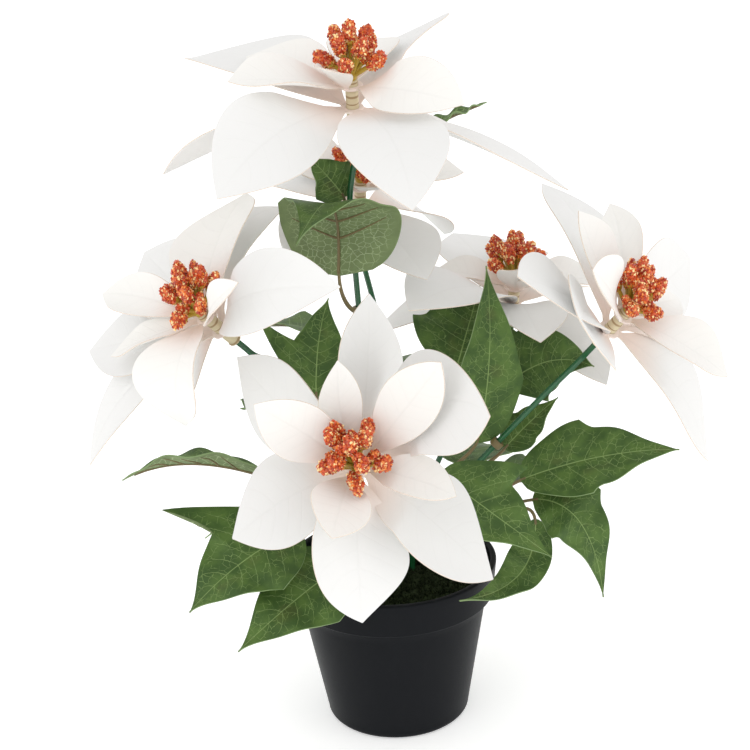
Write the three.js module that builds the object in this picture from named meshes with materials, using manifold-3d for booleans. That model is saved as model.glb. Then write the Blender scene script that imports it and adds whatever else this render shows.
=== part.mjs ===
// White fabric poinsettia bush in a black nursery pot.
// Millimetres, +Z up. The origin is the middle of the pot's underside and the front looks along -Y.
import * as THREE from "three";
import { mergeVertices } from "three/addons/utils/BufferGeometryUtils.js";
import Module from "manifold-3d";

const wasm = await Module();
wasm.setup();

// Pot
const POT_HEIGHT = 95;
const RIM_RADIUS = 60;
const BAND_HEIGHT = 20;
const BAND_FOOT_RADIUS = 58;
const BODY_TOP_RADIUS = 54;
const BODY_FOOT_RADIUS = 41.5;
const FOOT_ROUNDING = 4;
const POT_WALL = 1.8;
const LIP_WIDTH = 3;
const LIP_BEVEL = 0.6;
const LIP_BEVEL_DEPTH = 1.2;
const RIM_ROUNDING = 1.5;
const POT_SIDES = 26;

// Moss plug
const PLUG_EDGE_HEIGHT = 84;
const PLUG_CROWN = 5;
const PLUG_CLEARANCE = 0.6;
const PLUG_SIDES = 24;
const HOLE_DEPTH = 50;
const HOLE_CLEARANCE = 0.6;
const HOLE_SIDES = 8;

// Stems, collars and petioles
const STEM_RADIUS = 1.8;
const STEM_SIDES = 6;
const STEM_STEP = 18;
const FIT_GAP = 0.35;
const COLLAR_WALL = 1.1;
const COLLAR_HEIGHT = 4;
const COLLAR_SIDES = 5;
const PETIOLE_RADIUS = 1.2;
const PETIOLE_SIDES = 4;
const PETIOLE_STEPS = 3;
const LEAF_ROWS = [0, 0.1, 0.38, 0.5, 0.7, 0.88, 1];
const LEAF_WAVE = 1.6;
const LEAF_BASE_HALF_WIDTH = 1.4;
const LEAF_SWELL = 0.66;
const TIP_HALF_WIDTH = 0.3;
const BLADE_COLUMNS = 2;

// Side lobes: where along a leaf they start, peak and end, how far forward and sideways the peak goes
const LOBE_START = 0.08;
const LOBE_PEAK = 0.38;
const LOBE_END = 0.5;
const LOBE_FORWARD = 0.14;
const LOBE_REACH = 0.28;

// Blooms: heights are measured along the bloom's axis from the hub of the outer whorl
const FABRIC = 0.8;
const HUB_RADIUS = 6;
const HUB_THICKNESS = 1.4;
const CLAW_HALF_WIDTH = 2.3;
const OUTER_CUP = 14;
const OUTER_ROWS = [0, 0.16, 0.42, 0.68, 0.88, 1];
const INNER_CUP = 38;
const INNER_ROWS = [0, 0.22, 0.56, 0.84, 1];
const INNER_WHORL_HEIGHT = 13;
const NECK_RADIUS = 3.4;
const NECK_FLANGE_RADIUS = 4.8;
const NECK_BELOW = 12;
const NECK_ABOVE = 17;
const NECK_SIDES = 7;
const RING_SIDES = 8;
const FLANGE_TAPER = 1.6;
const STEM_STOP = 2;
const BORE_CLEARANCE = 0.45;
const SOCKET_DEPTH = 9;
const BLADE_START = 0.8;
const ROLL_END = 0.35;

// Flower heads of a bloom: rings of [count, tilt from the bloom's axis, stalk length]
const HEAD_RADIUS = 3.9;
const HEAD_LENGTH = 11.5;
const HEAD_SIDES = 5;
const STALK_RADIUS = 1.1;
const SPRAY_PEG_RADIUS = 1.9;
const SPRAY_BASE_RADIUS = 3.2;
const SPRAY_SIDES = 6;
const HEAD_RINGS = [[1, 0, 16], [4, 29, 14], [5, 54, 12]];

const COLOURS = {
  pot: { color: 0x26282b, roughness: 0.5 },
  moss: { color: 0x1c2a12, roughness: 1 },
  stem: { color: 0x1f4a2c, roughness: 0.55 },
  neck: { color: 0xe9e2c8, roughness: 0.6 },
  bract: { color: 0xf4f2ee, roughness: 0.85 },
  head: { color: 0xc8491c, roughness: 0.5 },
  leaf: { color: 0x3c602d, roughness: 0.7 },
};

// Each bloom: hub position, the way it faces (azimuth 0 is the front, 90 the right; elevation above
// level), the length and width of its bracts, and each bract's clock angle as seen from its face,
// its rise from the hub's plane at the root, its droop along its length, its roll about its midrib and
// the sideways sway of its tip, in degrees. size makes a bract longer and wider than its neighbours and
// broad makes it wider alone. lean is how far the spray of heads leans to the right and up for each
// millimetre of its height.
const BLOOMS = [
  {
    name: "front", hub: [-16, -75, 184], azimuth: -1, elevation: 26,
    outerSize: [88, 54], innerSize: [62, 37], lean: [-0.08, 0.4],
    outer: [
      { clock: 11, rise: 12, droop: 0, roll: 45, sway: -6, size: 0.97, broad: 0.89 },
      { clock: 44, rise: 20, droop: -39, roll: -45, sway: 27, size: 1.24, broad: 0.99 },
      { clock: 123, rise: 11, droop: 29, roll: -41, sway: 13, size: 0.92, broad: 1.22 },
      { clock: 182, rise: 44, droop: 70, roll: -31, sway: -2, size: 0.91, broad: 1.15 },
      { clock: 254, rise: 26, droop: 20, roll: 15, sway: -13, size: 0.78, broad: 1.15 },
      { clock: 307, rise: -1, droop: 23, roll: -27, sway: 10, size: 0.92, broad: 0.91 },
    ],
    inner: [
      { clock: 342, rise: 26, droop: 0, roll: -4, sway: 11, size: 0.84, broad: 0.8 },
      { clock: 45, rise: 28, droop: -41, roll: 0, sway: 0, size: 1.42, broad: 0.61 },
      { clock: 102, rise: 25, droop: -12, roll: -33, sway: 9, size: 0.94, broad: 0.79 },
      { clock: 205, rise: 42, droop: -5, roll: 2, sway: -5, size: 0.75, broad: 1.21 },
      { clock: 306, rise: 30, droop: -2, roll: -10, sway: -3, size: 0.98, broad: 0.91 },
    ],
  },
  {
    name: "left", hub: [-85, -20, 245], azimuth: -50, elevation: 45,
    outerSize: [90, 50], innerSize: [62, 40], lean: [-0.05, 0.35],
    outer: [
      { clock: 78, rise: 59, droop: 95, roll: 17, sway: -8, size: 1.15, broad: 0.78 },
      { clock: 228, rise: -25, droop: 30, roll: 0, sway: 0, size: 0.8 },
      { clock: 226, rise: 14, droop: 44, roll: -14, sway: -12, size: 1.26, broad: 0.48 },
      { clock: 245, rise: 14, droop: 20, roll: 0, sway: 0 },
      { clock: 286, rise: 13, droop: 20, roll: 0, sway: 0, size: 1.04 },
      { clock: 330, rise: 33, droop: 83, roll: 29, sway: 10, size: 1.13, broad: 0.5 },
    ],
    inner: [
      { clock: -31, rise: 19, droop: 32, roll: 2, sway: 14, size: 1.15, broad: 1.19 },
      { clock: 101, rise: 46, droop: 39, roll: 33, sway: -21, size: 1.15, broad: 0.46 },
      { clock: 168, rise: 30, droop: 100, roll: 3, sway: 1, broad: 1.37 },
      { clock: 222, rise: 23, droop: 31, roll: 14, sway: 8, size: 0.93, broad: 0.6 },
      { clock: 263, rise: 37, droop: 44, roll: -2, sway: -3, size: 1.11, broad: 0.62 },
    ],
  },
  {
    name: "top", hub: [-9, 5, 355], azimuth: 0, elevation: 72,
    outerSize: [106, 58], innerSize: [64, 42], lean: [0, 0.3],
    outer: [
      { clock: 27, rise: 16, droop: 28, roll: -30, sway: 6, size: 0.95, broad: 0.76 },
      { clock: 112, rise: -4, droop: 22, roll: -28, sway: -1, size: 1.11, broad: 1.01 },
      { clock: 157, rise: 25, droop: 48, roll: -6, sway: 10, size: 1.03, broad: 0.98 },
      { clock: 222, rise: 25, droop: 42, roll: -21, sway: -6, size: 1.05, broad: 0.89 },
      { clock: 270, rise: -4, droop: 30, roll: 35, sway: 0 },
      { clock: 312, rise: 19, droop: 46, roll: 10, sway: 3, size: 1.16, broad: 1.12 },
    ],
    inner: [
      { clock: 10, rise: 5, droop: 20, roll: 0, sway: 0 },
      { clock: 134, rise: 22, droop: 40, roll: 33, sway: -10, size: 0.99, broad: 0.89 },
      { clock: 215, rise: 50, droop: 10, roll: 0, sway: 0, size: 0.5 },
      { clock: 250, rise: 26, droop: 20, roll: 0, sway: 0 },
      { clock: 305, rise: 10, droop: 20, roll: 0, sway: 0 },
    ],
  },
  {
    name: "back", hub: [-8, 75, 285], azimuth: 10, elevation: 72,
    outerSize: [84, 50], innerSize: [56, 38], lean: [0, 0],
    outer: [
      { clock: 356, rise: 10, droop: 30, roll: 0, sway: 0 },
      { clock: 61, rise: -11, droop: 50, roll: 0, sway: 0, size: 0.97 },
      { clock: 165, rise: 12, droop: 25, roll: 0, sway: 0, size: 0.94 },
      { clock: 185, rise: 35, droop: 30, roll: 0, sway: 0, size: 0.7 },
      { clock: 228, rise: 20, droop: 30, roll: 0, sway: 0, size: 0.8 },
      { clock: 330, rise: 3, droop: 30, roll: 0, sway: 0 },
    ],
    inner: [
      { clock: 25, rise: 25, droop: 30, roll: 0, sway: 0 },
      { clock: 100, rise: 25, droop: 30, roll: 0, sway: 0 },
      { clock: 165, rise: 30, droop: -4, roll: 0, sway: 0, size: 0.8 },
      { clock: 240, rise: 30, droop: -4, roll: 0, sway: 0, size: 0.8 },
      { clock: 310, rise: 25, droop: 30, roll: 0, sway: 0 },
    ],
  },
  {
    name: "middle", hub: [79, 70, 221], azimuth: 20, elevation: 78,
    outerSize: [84, 48], innerSize: [52, 36], lean: [0, 0.3],
    outer: [
      { clock: 360, rise: 19, droop: 30, roll: 0, sway: 0, size: 1.03 },
      { clock: 52, rise: 8, droop: 50, roll: 0, sway: 0, size: 1.01 },
      { clock: 162, rise: 13, droop: 50, roll: 0, sway: 0, size: 0.93 },
      { clock: 201, rise: 46, droop: 62, roll: 0, sway: -6, size: 0.92, broad: 1.05 },
      { clock: 242, rise: 52, droop: 62, roll: 0, sway: 0, size: 1.25 },
      { clock: 305, rise: 0, droop: 40, roll: 0, sway: 0 },
    ],
    inner: [
      { clock: 30, rise: 12, droop: 30, roll: 0, sway: 0 },
      { clock: 100, rise: 15, droop: 30, roll: 0, sway: 0 },
      { clock: 165, rise: 44, droop: 30, roll: 0, sway: 0, size: 0.75 },
      { clock: 205, rise: 44, droop: -6, roll: 0, sway: 0, size: 0.68 },
      { clock: 310, rise: 15, droop: 30, roll: 0, sway: 0, size: 0.9 },
    ],
  },
  {
    name: "right", hub: [123, -15, 232], azimuth: 48, elevation: 48,
    outerSize: [88, 50], innerSize: [60, 40], lean: [0.1, 0.3],
    outer: [
      { clock: 21, rise: 34, droop: 64, roll: 2, sway: -1, size: 1.14, broad: 0.75 },
      { clock: 83, rise: 17, droop: 29, roll: 32, sway: -3, size: 1.06, broad: 0.91 },
      { clock: 104, rise: 10, droop: 46, roll: 9, sway: 11, size: 1.05, broad: 0.5 },
      { clock: 144, rise: 1, droop: 43, roll: -1, sway: 13, size: 1.04, broad: 1.07 },
      { clock: 292, rise: 37, droop: 25, roll: 13, sway: -1, size: 1.09, broad: 1.04 },
      { clock: 269, rise: 30, droop: -6, roll: -15, sway: 0, broad: 1.1 },
    ],
    inner: [
      { clock: 32, rise: 34, droop: 49, roll: -44, sway: 3, size: 1.12, broad: 0.59 },
      { clock: 99, rise: 21, droop: 30, roll: 0, sway: 0, size: 0.68 },
      { clock: 160, rise: 26, droop: 30, roll: 0, sway: 0 },
      { clock: 284, rise: 50, droop: 24, roll: -30, sway: 2, size: 1.08, broad: 0.8 },
      { clock: 340, rise: 32, droop: -4, roll: 0, sway: 0 },
    ],
  },
];

// Each stem is named for its bloom: the hole it stands in and the points it bends through on its way.
const STEMS = {
  front: { foot: [-6, -16], bends: [[-10, -34, 128]] },
  left: { foot: [-14, -4], bends: [[-20, -5, 130], [-38, -5, 180], [-60, -2, 218]] },
  top: { foot: [-4, 4], bends: [[-8, 6, 170], [-12, 9, 262], [-13, 11, 305]] },
  back: { foot: [4, 14], bends: [[6, 30, 150], [0, 54, 215]] },
  middle: { foot: [12, 10], bends: [[24, 24, 130], [54, 54, 175]] },
  right: { foot: [12, -4], bends: [[24, -5, 125], [54, -5, 157], [86, -5, 190]] },
};

// Each leaf: the stem it is clipped to and how high, then the root, bend and tip of its midrib, the way
// its upper side faces at the root, its width, the fold of its halves in degrees, and how far the side
// lobes on its left and right reach. A swell below LEAF_SWELL rounds the leaf's base.
const LEAVES = [
  { stem: "left", height: 140, root: [-65, -40, 167], bend: [-110, -47, 189], tip: [-142, -45, 171],
    face: [0, 0.3, 1], width: 36, fold: 20, lobes: [0, 0] },
  { stem: "front", height: 120, root: [-50, -43, 136], bend: [-83, -65, 132], tip: [-108, -83, 110],
    face: [-0.2, -0.6, 0.75], width: 52, fold: 8, lobes: [1.8, 0.3] },
  { stem: "front", height: 104, root: [-26, -52, 118], bend: [-50, -70, 112], tip: [-83, -95, 92],
    face: [0, -0.6, 0.8], width: 48, fold: 8, lobes: [0.2, 0.2] },
  { stem: "left", height: 178, root: [-37, -15, 202], bend: [-36, -14, 235], tip: [-27, -20, 259],
    face: [0.1, -0.95, 0.3], width: 30, fold: 8, lobes: [0, 2.3] },
  { stem: "top", height: 243, root: [-21, -9, 268], bend: [-15, 18, 330], tip: [-41, -46, 296],
    face: [0.48, 0.88, 0], width: 72, fold: 6, lobes: [0.2, 0.05], swell: 0.5 },
  { stem: "top", height: 290, root: [-16, 14, 305], bend: [-24, 12, 318], tip: [-34, 6, 330],
    face: [0, -0.7, 0.7], width: 24, fold: 10, lobes: [0.4, 0.4] },
  { stem: "middle", height: 150, root: [42, 26, 199], bend: [52, 44, 223], tip: [60, 72, 234],
    face: [-0.1, -0.8, 0.55], width: 56, fold: 6, lobes: [0.3, 0.3] },
  { stem: "right", height: 140, root: [51, -2, 165], bend: [63, 0, 213], tip: [58, -8, 269],
    face: [0.2, -0.95, 0.2], width: 36, fold: 18, lobes: [0.15, 0.15] },
  { stem: "right", height: 165, root: [69, 14, 192], bend: [95, 20, 212], tip: [116, -6, 208],
    face: [0, -0.6, 0.8], width: 42, fold: 8, lobes: [0.3, 0.3] },
  { stem: "right", height: 130, root: [74, -12, 145], bend: [118, -14, 162], tip: [161, -20, 162],
    face: [-0.1, -0.5, 0.85], width: 44, fold: 8, lobes: [0.3, 0.3] },
  { stem: "front", height: 132, root: [27, -46, 166], bend: [50, -60, 151], tip: [83, -82, 131],
    face: [0.1, -0.6, 0.8], width: 44, fold: 8, lobes: [0.2, 0.9] },
  { stem: "right", height: 112, root: [80, -17, 135], bend: [112, -24, 138], tip: [116, -40, 84],
    face: [0.2, -0.6, 0.8], width: 38, fold: 8, lobes: [0.3, 0.3] },
  { stem: "right", height: 102, root: [80, -30, 129], bend: [79, -45, 92], tip: [34, -85, 110],
    face: [0, -0.5, 0.85], width: 24, fold: 10, lobes: [0, 0] },
  { stem: "top", height: 326, root: [28, 22, 338], bend: [46, 30, 345], tip: [64, 40, 348],
    face: [0, 0.12, 1], width: 16, fold: 10, lobes: [0, 0] },
  { stem: "back", height: 190, root: [-28, 66, 208], bend: [-60, 80, 222], tip: [-92, 92, 205],
    face: [0, 0.2, 1], width: 46, fold: 8, lobes: [0.4, 0.4] },
  { stem: "back", height: 165, root: [8, 66, 178], bend: [10, 100, 190], tip: [14, 132, 168],
    face: [0, 0.2, 1], width: 50, fold: 8, lobes: [0.4, 0.4] },
  { stem: "middle", height: 185, root: [96, 84, 180], bend: [122, 96, 186], tip: [140, 112, 162],
    face: [0.2, 0.2, 1], width: 44, fold: 8, lobes: [0.4, 0.4] },
  { stem: "left", height: 160, root: [-44, 24, 172], bend: [-66, 46, 184], tip: [-86, 72, 170],
    face: [-0.2, 0.2, 1], width: 44, fold: 8, lobes: [0.4, 0.4] },
  { stem: "right", height: 120, root: [62, 22, 128], bend: [96, 36, 136], tip: [128, 46, 118],
    face: [0.2, 0.2, 1], width: 44, fold: 8, lobes: [0.4, 0.4] },
  { stem: "back", height: 125, root: [-14, 52, 134], bend: [-34, 82, 142], tip: [-52, 108, 118],
    face: [0, 0.2, 1], width: 50, fold: 8, lobes: [0.4, 0.4] },
  { stem: "middle", height: 122, root: [44, 54, 128], bend: [58, 84, 136], tip: [72, 112, 112],
    face: [0.1, 0.2, 1], width: 50, fold: 8, lobes: [0.4, 0.4] },
  { stem: "left", height: 115, root: [-52, 6, 122], bend: [-82, 12, 128], tip: [-108, 16, 106],
    face: [-0.2, 0, 1], width: 44, fold: 8, lobes: [0.4, 0.4] },
  { stem: "right", height: 150, root: [67, 6, 157], bend: [79, 8, 170], tip: [98, 10, 185],
    face: [-0.1, -0.6, 0.8], width: 22, fold: 8, lobes: [0.2, 0.2] },
];

const rad = THREE.MathUtils.degToRad;
const vector = ([x, y, z]) => new THREE.Vector3(x, y, z);

// ---- solids ----

/** A manifold made from a closed geometry, with only its positions kept. */
function toSolid(geometry) {
  const bare = geometry.clone();
  bare.deleteAttribute("normal");
  bare.deleteAttribute("uv");
  const merged = mergeVertices(bare, 1e-4);
  return new wasm.Manifold(new wasm.Mesh({
    numProp: 3,
    vertProperties: new Float32Array(merged.attributes.position.array),
    triVerts: new Uint32Array(merged.index.array),
  }));
}

/** A three.js geometry made from a manifold. */
function toGeometry(solid) {
  const mesh = solid.getMesh();
  const geometry = new THREE.BufferGeometry();
  geometry.setAttribute("position", new THREE.BufferAttribute(mesh.vertProperties, 3));
  geometry.setIndex(new THREE.BufferAttribute(mesh.triVerts, 1));
  return geometry;
}

/** All the geometries joined into one solid. */
function join(geometries) {
  return geometries.map(toSolid).reduce((whole, piece) => whole.add(piece));
}

function material(look) {
  return new THREE.MeshStandardMaterial({ metalness: 0, ...COLOURS[look] });
}

function named(name, geometry, look) {
  const mesh = new THREE.Mesh(geometry, material(look));
  mesh.name = name;
  return mesh;
}

/** A round rod along a curve. */
function rod(curve, radius, sides, steps) {
  const section = new THREE.Shape();
  for (let k = 0; k < sides; k += 1) {
    const angle = (2 * Math.PI * k) / sides;
    section[k ? "lineTo" : "moveTo"](radius * Math.cos(angle), radius * Math.sin(angle));
  }
  section.closePath();
  return new THREE.ExtrudeGeometry(section, { steps, bevelEnabled: false, extrudePath: curve });
}

/** A turned shape from [radius, height] pairs, standing along +Z. */
function turned(profile, sides) {
  const points = profile.map(([radius, height]) => new THREE.Vector2(radius, height));
  return new THREE.LatheGeometry(points, sides).rotateX(Math.PI / 2);
}

/** A thin closed sheet: surface(u, v) gives its middle, u from root to tip in rows, v from -1 to 1. */
function sheet(rows, surface) {
  const columns = BLADE_COLUMNS;
  const across = Array.from({ length: columns + 1 }, (_, j) => (2 * j) / columns - 1);
  const middle = rows.map((u) => across.map((v) => surface(u, v)));
  const last = rows.length - 1;
  const positions = [];
  for (const side of [1, -1]) {
    for (let i = 0; i <= last; i += 1) {
      for (let j = 0; j <= columns; j += 1) {
        const along = middle[Math.min(i + 1, last)][j].clone().sub(middle[Math.max(i - 1, 0)][j]);
        const over = middle[i][Math.min(j + 1, columns)].clone().sub(middle[i][Math.max(j - 1, 0)]);
        const normal = along.cross(over).normalize();
        positions.push(...middle[i][j].clone().addScaledVector(normal, (side * FABRIC) / 2).toArray());
      }
    }
  }
  const stride = columns + 1;
  const under = (last + 1) * stride;
  const index = [];
  for (let i = 0; i < last; i += 1) {
    for (let j = 0; j < columns; j += 1) {
      const [a, b] = [i * stride + j, (i + 1) * stride + j];
      const [c, d] = [b + 1, a + 1];
      index.push(a, b, c, a, c, d);
      index.push(under + a, under + c, under + b, under + a, under + d, under + c);
    }
  }
  const rim = [];
  for (let j = 0; j < columns; j += 1) rim.push(j);
  for (let i = 0; i < last; i += 1) rim.push(i * stride + columns);
  for (let j = columns; j > 0; j -= 1) rim.push(last * stride + j);
  for (let i = last; i > 0; i -= 1) rim.push(i * stride);
  rim.forEach((from, k) => {
    const to = rim[(k + 1) % rim.length];
    index.push(from, to, under + to, from, under + to, under + from);
  });
  const geometry = new THREE.BufferGeometry();
  geometry.setAttribute("position", new THREE.Float32BufferAttribute(positions, 3));
  geometry.setIndex(index);
  return geometry;
}

// ---- pot and moss ----

function pot() {
  const bandFoot = POT_HEIGHT - BAND_HEIGHT;
  const inside = BODY_TOP_RADIUS - POT_WALL;
  const floorRadius = BODY_FOOT_RADIUS - POT_WALL;
  const profile = [
    [0, 0],
    [BODY_FOOT_RADIUS - FOOT_ROUNDING, 0],
    [BODY_FOOT_RADIUS - 0.3 * FOOT_ROUNDING, 0.3 * FOOT_ROUNDING],
    [BODY_FOOT_RADIUS, FOOT_ROUNDING],
    [BODY_TOP_RADIUS, bandFoot],
    [BAND_FOOT_RADIUS, bandFoot],
    [RIM_RADIUS - 0.2 * RIM_ROUNDING, POT_HEIGHT - RIM_ROUNDING],
    [RIM_RADIUS - 0.8 * RIM_ROUNDING, POT_HEIGHT],
    [RIM_RADIUS - LIP_WIDTH, POT_HEIGHT],
    [RIM_RADIUS - LIP_WIDTH - LIP_BEVEL, POT_HEIGHT - LIP_BEVEL_DEPTH],
    [inside, bandFoot - 1],
    [floorRadius, FOOT_ROUNDING + POT_WALL],
    [floorRadius - FOOT_ROUNDING, POT_WALL],
    [0, POT_WALL],
  ];
  return named("pot", turned(profile, POT_SIDES), "pot");
}

/** Inside radius of the pot at a height. */
function potInside(height) {
  const bandFoot = POT_HEIGHT - BAND_HEIGHT - 1;
  const top = RIM_RADIUS - LIP_WIDTH - LIP_BEVEL;
  const [low, high] = [BODY_FOOT_RADIUS - POT_WALL, BODY_TOP_RADIUS - POT_WALL];
  if (height > bandFoot) {
    return high + ((top - high) * (height - bandFoot)) / (POT_HEIGHT - LIP_BEVEL_DEPTH - bandFoot);
  }
  return low + ((high - low) * (height - FOOT_ROUNDING - POT_WALL)) / (bandFoot - FOOT_ROUNDING - POT_WALL);
}

function moss() {
  const foot = FOOT_ROUNDING + POT_WALL;
  const bandFoot = POT_HEIGHT - BAND_HEIGHT - 1;
  const edge = potInside(PLUG_EDGE_HEIGHT) - PLUG_CLEARANCE;
  const profile = [
    [0, POT_WALL + FIT_GAP],
    [potInside(foot) - FOOT_ROUNDING - 1, POT_WALL + FIT_GAP],
    [potInside(foot) - PLUG_CLEARANCE - FIT_GAP, foot + FIT_GAP],
    [potInside(bandFoot) - PLUG_CLEARANCE, bandFoot],
    [edge, PLUG_EDGE_HEIGHT],
    [edge * 0.8, PLUG_EDGE_HEIGHT + PLUG_CROWN * 0.6],
    [edge * 0.5, PLUG_EDGE_HEIGHT + PLUG_CROWN * 0.85],
    [0, PLUG_EDGE_HEIGHT + PLUG_CROWN],
  ];
  let plug = toSolid(turned(profile, PLUG_SIDES));
  for (const { foot: [x, y] } of Object.values(STEMS)) {
    const depth = HOLE_DEPTH + 4 * PLUG_CROWN;
    const radius = STEM_RADIUS + HOLE_CLEARANCE;
    const hole = new THREE.CylinderGeometry(radius, radius, depth, HOLE_SIDES);
    hole.rotateX(Math.PI / 2).translate(x, y, PLUG_EDGE_HEIGHT - HOLE_DEPTH + depth / 2);
    plug = plug.subtract(toSolid(hole));
  }
  return named("moss_plug", toGeometry(plug), "moss");
}

// ---- blooms ----

/** The bloom's own axes: z is the way it faces, y is up its face, x is to the right of its face. */
function bloomFrame(bloom) {
  const [turn, tilt] = [rad(bloom.azimuth), rad(bloom.elevation)];
  const facing = new THREE.Vector3(
    Math.sin(turn) * Math.cos(tilt), -Math.cos(turn) * Math.cos(tilt), Math.sin(tilt),
  );
  const up = new THREE.Vector3(0, 0, 1).addScaledVector(facing, -facing.z).normalize();
  const right = up.clone().cross(facing);
  return new THREE.Matrix4().makeBasis(right, up, facing).setPosition(vector(bloom.hub));
}

/** Half the width of a bract: it swells from a short claw to just past the middle and ends in a point. */
function bractHalfWidth(u, width) {
  const swell = Math.max(Math.sin(Math.PI * u ** 1.2), 0) ** (0.85 + 0.1 * u);
  return Math.max((width / 2) * swell, u < 0.5 ? CLAW_HALF_WIDTH : TIP_HALF_WIDTH);
}

/** The middle surface of one bract in its bloom's own axes. */
function bractSurface(bract, size, height, cup) {
  const whole = bract.size ?? 1;
  const [length, width] = [size[0] * whole, size[1] * whole * (bract.broad ?? 1)];
  const out = new THREE.Vector3(Math.sin(rad(bract.clock)), Math.cos(rad(bract.clock)), 0);
  const axis = new THREE.Vector3(0, 0, 1);
  const side = axis.clone().cross(out);
  const start = NECK_RADIUS + FIT_GAP + BLADE_START;
  const rise = rad(bract.rise);
  const droop = rad(bract.droop || 0.1);
  return (u, v) => {
    const slope = rise - droop * u;
    const reach = start + (length * (Math.sin(rise) - Math.sin(slope))) / droop;
    const lift = height + (length * (Math.cos(slope) - Math.cos(rise))) / droop;
    const normal = axis.clone().multiplyScalar(Math.cos(slope)).addScaledVector(out, -Math.sin(slope));
    const roll = rad(bract.roll) * Math.min(1, u / ROLL_END);
    const over = side.clone().multiplyScalar(Math.cos(roll)).addScaledVector(normal, Math.sin(roll));
    const face = normal.clone().multiplyScalar(Math.cos(roll)).addScaledVector(side, -Math.sin(roll));
    const bow = Math.max(rad(cup) * Math.sin(Math.PI * u), 0.01);
    const half = bractHalfWidth(u, width);
    const drift = -length * Math.sin(rad(bract.sway)) * u ** 2;
    return axis.clone().multiplyScalar(lift)
      .addScaledVector(out, reach)
      .addScaledVector(over, drift + (half * Math.sin(bow * v)) / bow)
      .addScaledVector(face, (half * (1 - Math.cos(bow * v))) / bow);
  };
}

/** A whorl of bracts joined at a ring that slides on the neck. */
function whorl(bracts, size, height, cup, rows, frame) {
  const bore = NECK_RADIUS + FIT_GAP;
  const ring = [
    [bore, height - HUB_THICKNESS / 2],
    [HUB_RADIUS, height - HUB_THICKNESS / 2],
    [HUB_RADIUS, height + HUB_THICKNESS / 2],
    [bore, height + HUB_THICKNESS / 2],
    [bore, height - HUB_THICKNESS / 2],
  ];
  const blades = bracts.map((bract) => sheet(rows, bractSurface(bract, size, height, cup)));
  const solid = join([turned(ring, RING_SIDES), ...blades]);
  return toGeometry(solid).applyMatrix4(frame);
}

function bloomParts(bloom) {
  const frame = bloomFrame(bloom);
  const outer = whorl(bloom.outer, bloom.outerSize, 0, OUTER_CUP, OUTER_ROWS, frame);
  const inner = whorl(bloom.inner, bloom.innerSize, INNER_WHORL_HEIGHT, INNER_CUP, INNER_ROWS, frame);
  return [
    named(`${bloom.name}_outer_bracts`, outer, "bract"),
    named(`${bloom.name}_inner_bracts`, inner, "bract"),
    named(`${bloom.name}_neck`, neck().applyMatrix4(frame), "neck"),
    named(`${bloom.name}_cyathia`, cyathia(bloom.lean).applyMatrix4(frame), "head"),
  ];
}

/** The tube that carries both whorls on its flanges: the stem goes in below, the spray's peg above. */
function neck() {
  const [bore, socket] = [STEM_RADIUS + BORE_CLEARANCE, SPRAY_PEG_RADIUS + BORE_CLEARANCE];
  const flange = (top) => [
    [NECK_RADIUS, top - FLANGE_TAPER],
    [NECK_FLANGE_RADIUS, top],
    [NECK_RADIUS, top],
  ];
  const clear = HUB_THICKNESS / 2 + FIT_GAP;
  const profile = [
    [0, STEM_STOP],
    [bore, STEM_STOP],
    [bore, -NECK_BELOW],
    [NECK_RADIUS, -NECK_BELOW],
    ...flange(-clear),
    ...flange(INNER_WHORL_HEIGHT - clear),
    [NECK_RADIUS, NECK_ABOVE],
    [socket, NECK_ABOVE],
    [socket, NECK_ABOVE - SOCKET_DEPTH],
    [0, NECK_ABOVE - SOCKET_DEPTH],
  ];
  return turned(profile, NECK_SIDES);
}

/** The spray of flower heads: a peg and a knob, and stalks that spread from it in rings and lean. */
function cyathia([right, up]) {
  const foot = NECK_ABOVE + FIT_GAP;
  const base = turned([
    [0, foot - SOCKET_DEPTH + 1],
    [SPRAY_PEG_RADIUS, foot - SOCKET_DEPTH + 1],
    [SPRAY_PEG_RADIUS, foot],
    [SPRAY_BASE_RADIUS, foot],
    [SPRAY_BASE_RADIUS, foot + 2],
    [0, foot + 4],
  ], SPRAY_SIDES);
  const pieces = [base];
  const lean = new THREE.Matrix4().set(1, 0, right, 0, 0, 1, up, 0, 0, 0, 1, 0, 0, 0, 0, 1);
  HEAD_RINGS.forEach(([count, tilt, stalk], ring) => {
    for (let k = 0; k < count; k += 1) {
      const head = turned([
        [0, 0],
        [STALK_RADIUS, stalk],
        [HEAD_RADIUS, stalk + 0.35 * HEAD_LENGTH],
        [HEAD_RADIUS * 0.75, stalk + 0.8 * HEAD_LENGTH],
        [0, stalk + HEAD_LENGTH],
      ], HEAD_SIDES);
      head.rotateX(rad(tilt)).rotateZ((2 * Math.PI * (k + 0.5 * ring)) / count);
      pieces.push(head.applyMatrix4(lean).translate(0, 0, foot + 0.5));
    }
  });
  return toGeometry(join(pieces));
}

// ---- stems and leaves ----

/** The middle line of a stem: straight in its hole, bent on its way, straight into its neck. */
function stemCurve(bloom) {
  const { foot: [x, y], bends } = STEMS[bloom.name];
  const frame = bloomFrame(bloom);
  const onAxis = (height) => new THREE.Vector3(0, 0, height).applyMatrix4(frame);
  const standing = [PLUG_EDGE_HEIGHT - HOLE_DEPTH + FIT_GAP, PLUG_EDGE_HEIGHT, PLUG_EDGE_HEIGHT + 12];
  const points = [
    ...standing.map((z) => vector([x, y, z])),
    ...bends.map(vector),
    ...[-NECK_BELOW - 16, -NECK_BELOW - 8, -NECK_BELOW + 4, STEM_STOP - FIT_GAP].map(onAxis),
  ];
  return new THREE.CatmullRomCurve3(points);
}

function stemSteps(curve) {
  return Math.ceil(curve.getLength() / STEM_STEP);
}

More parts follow.
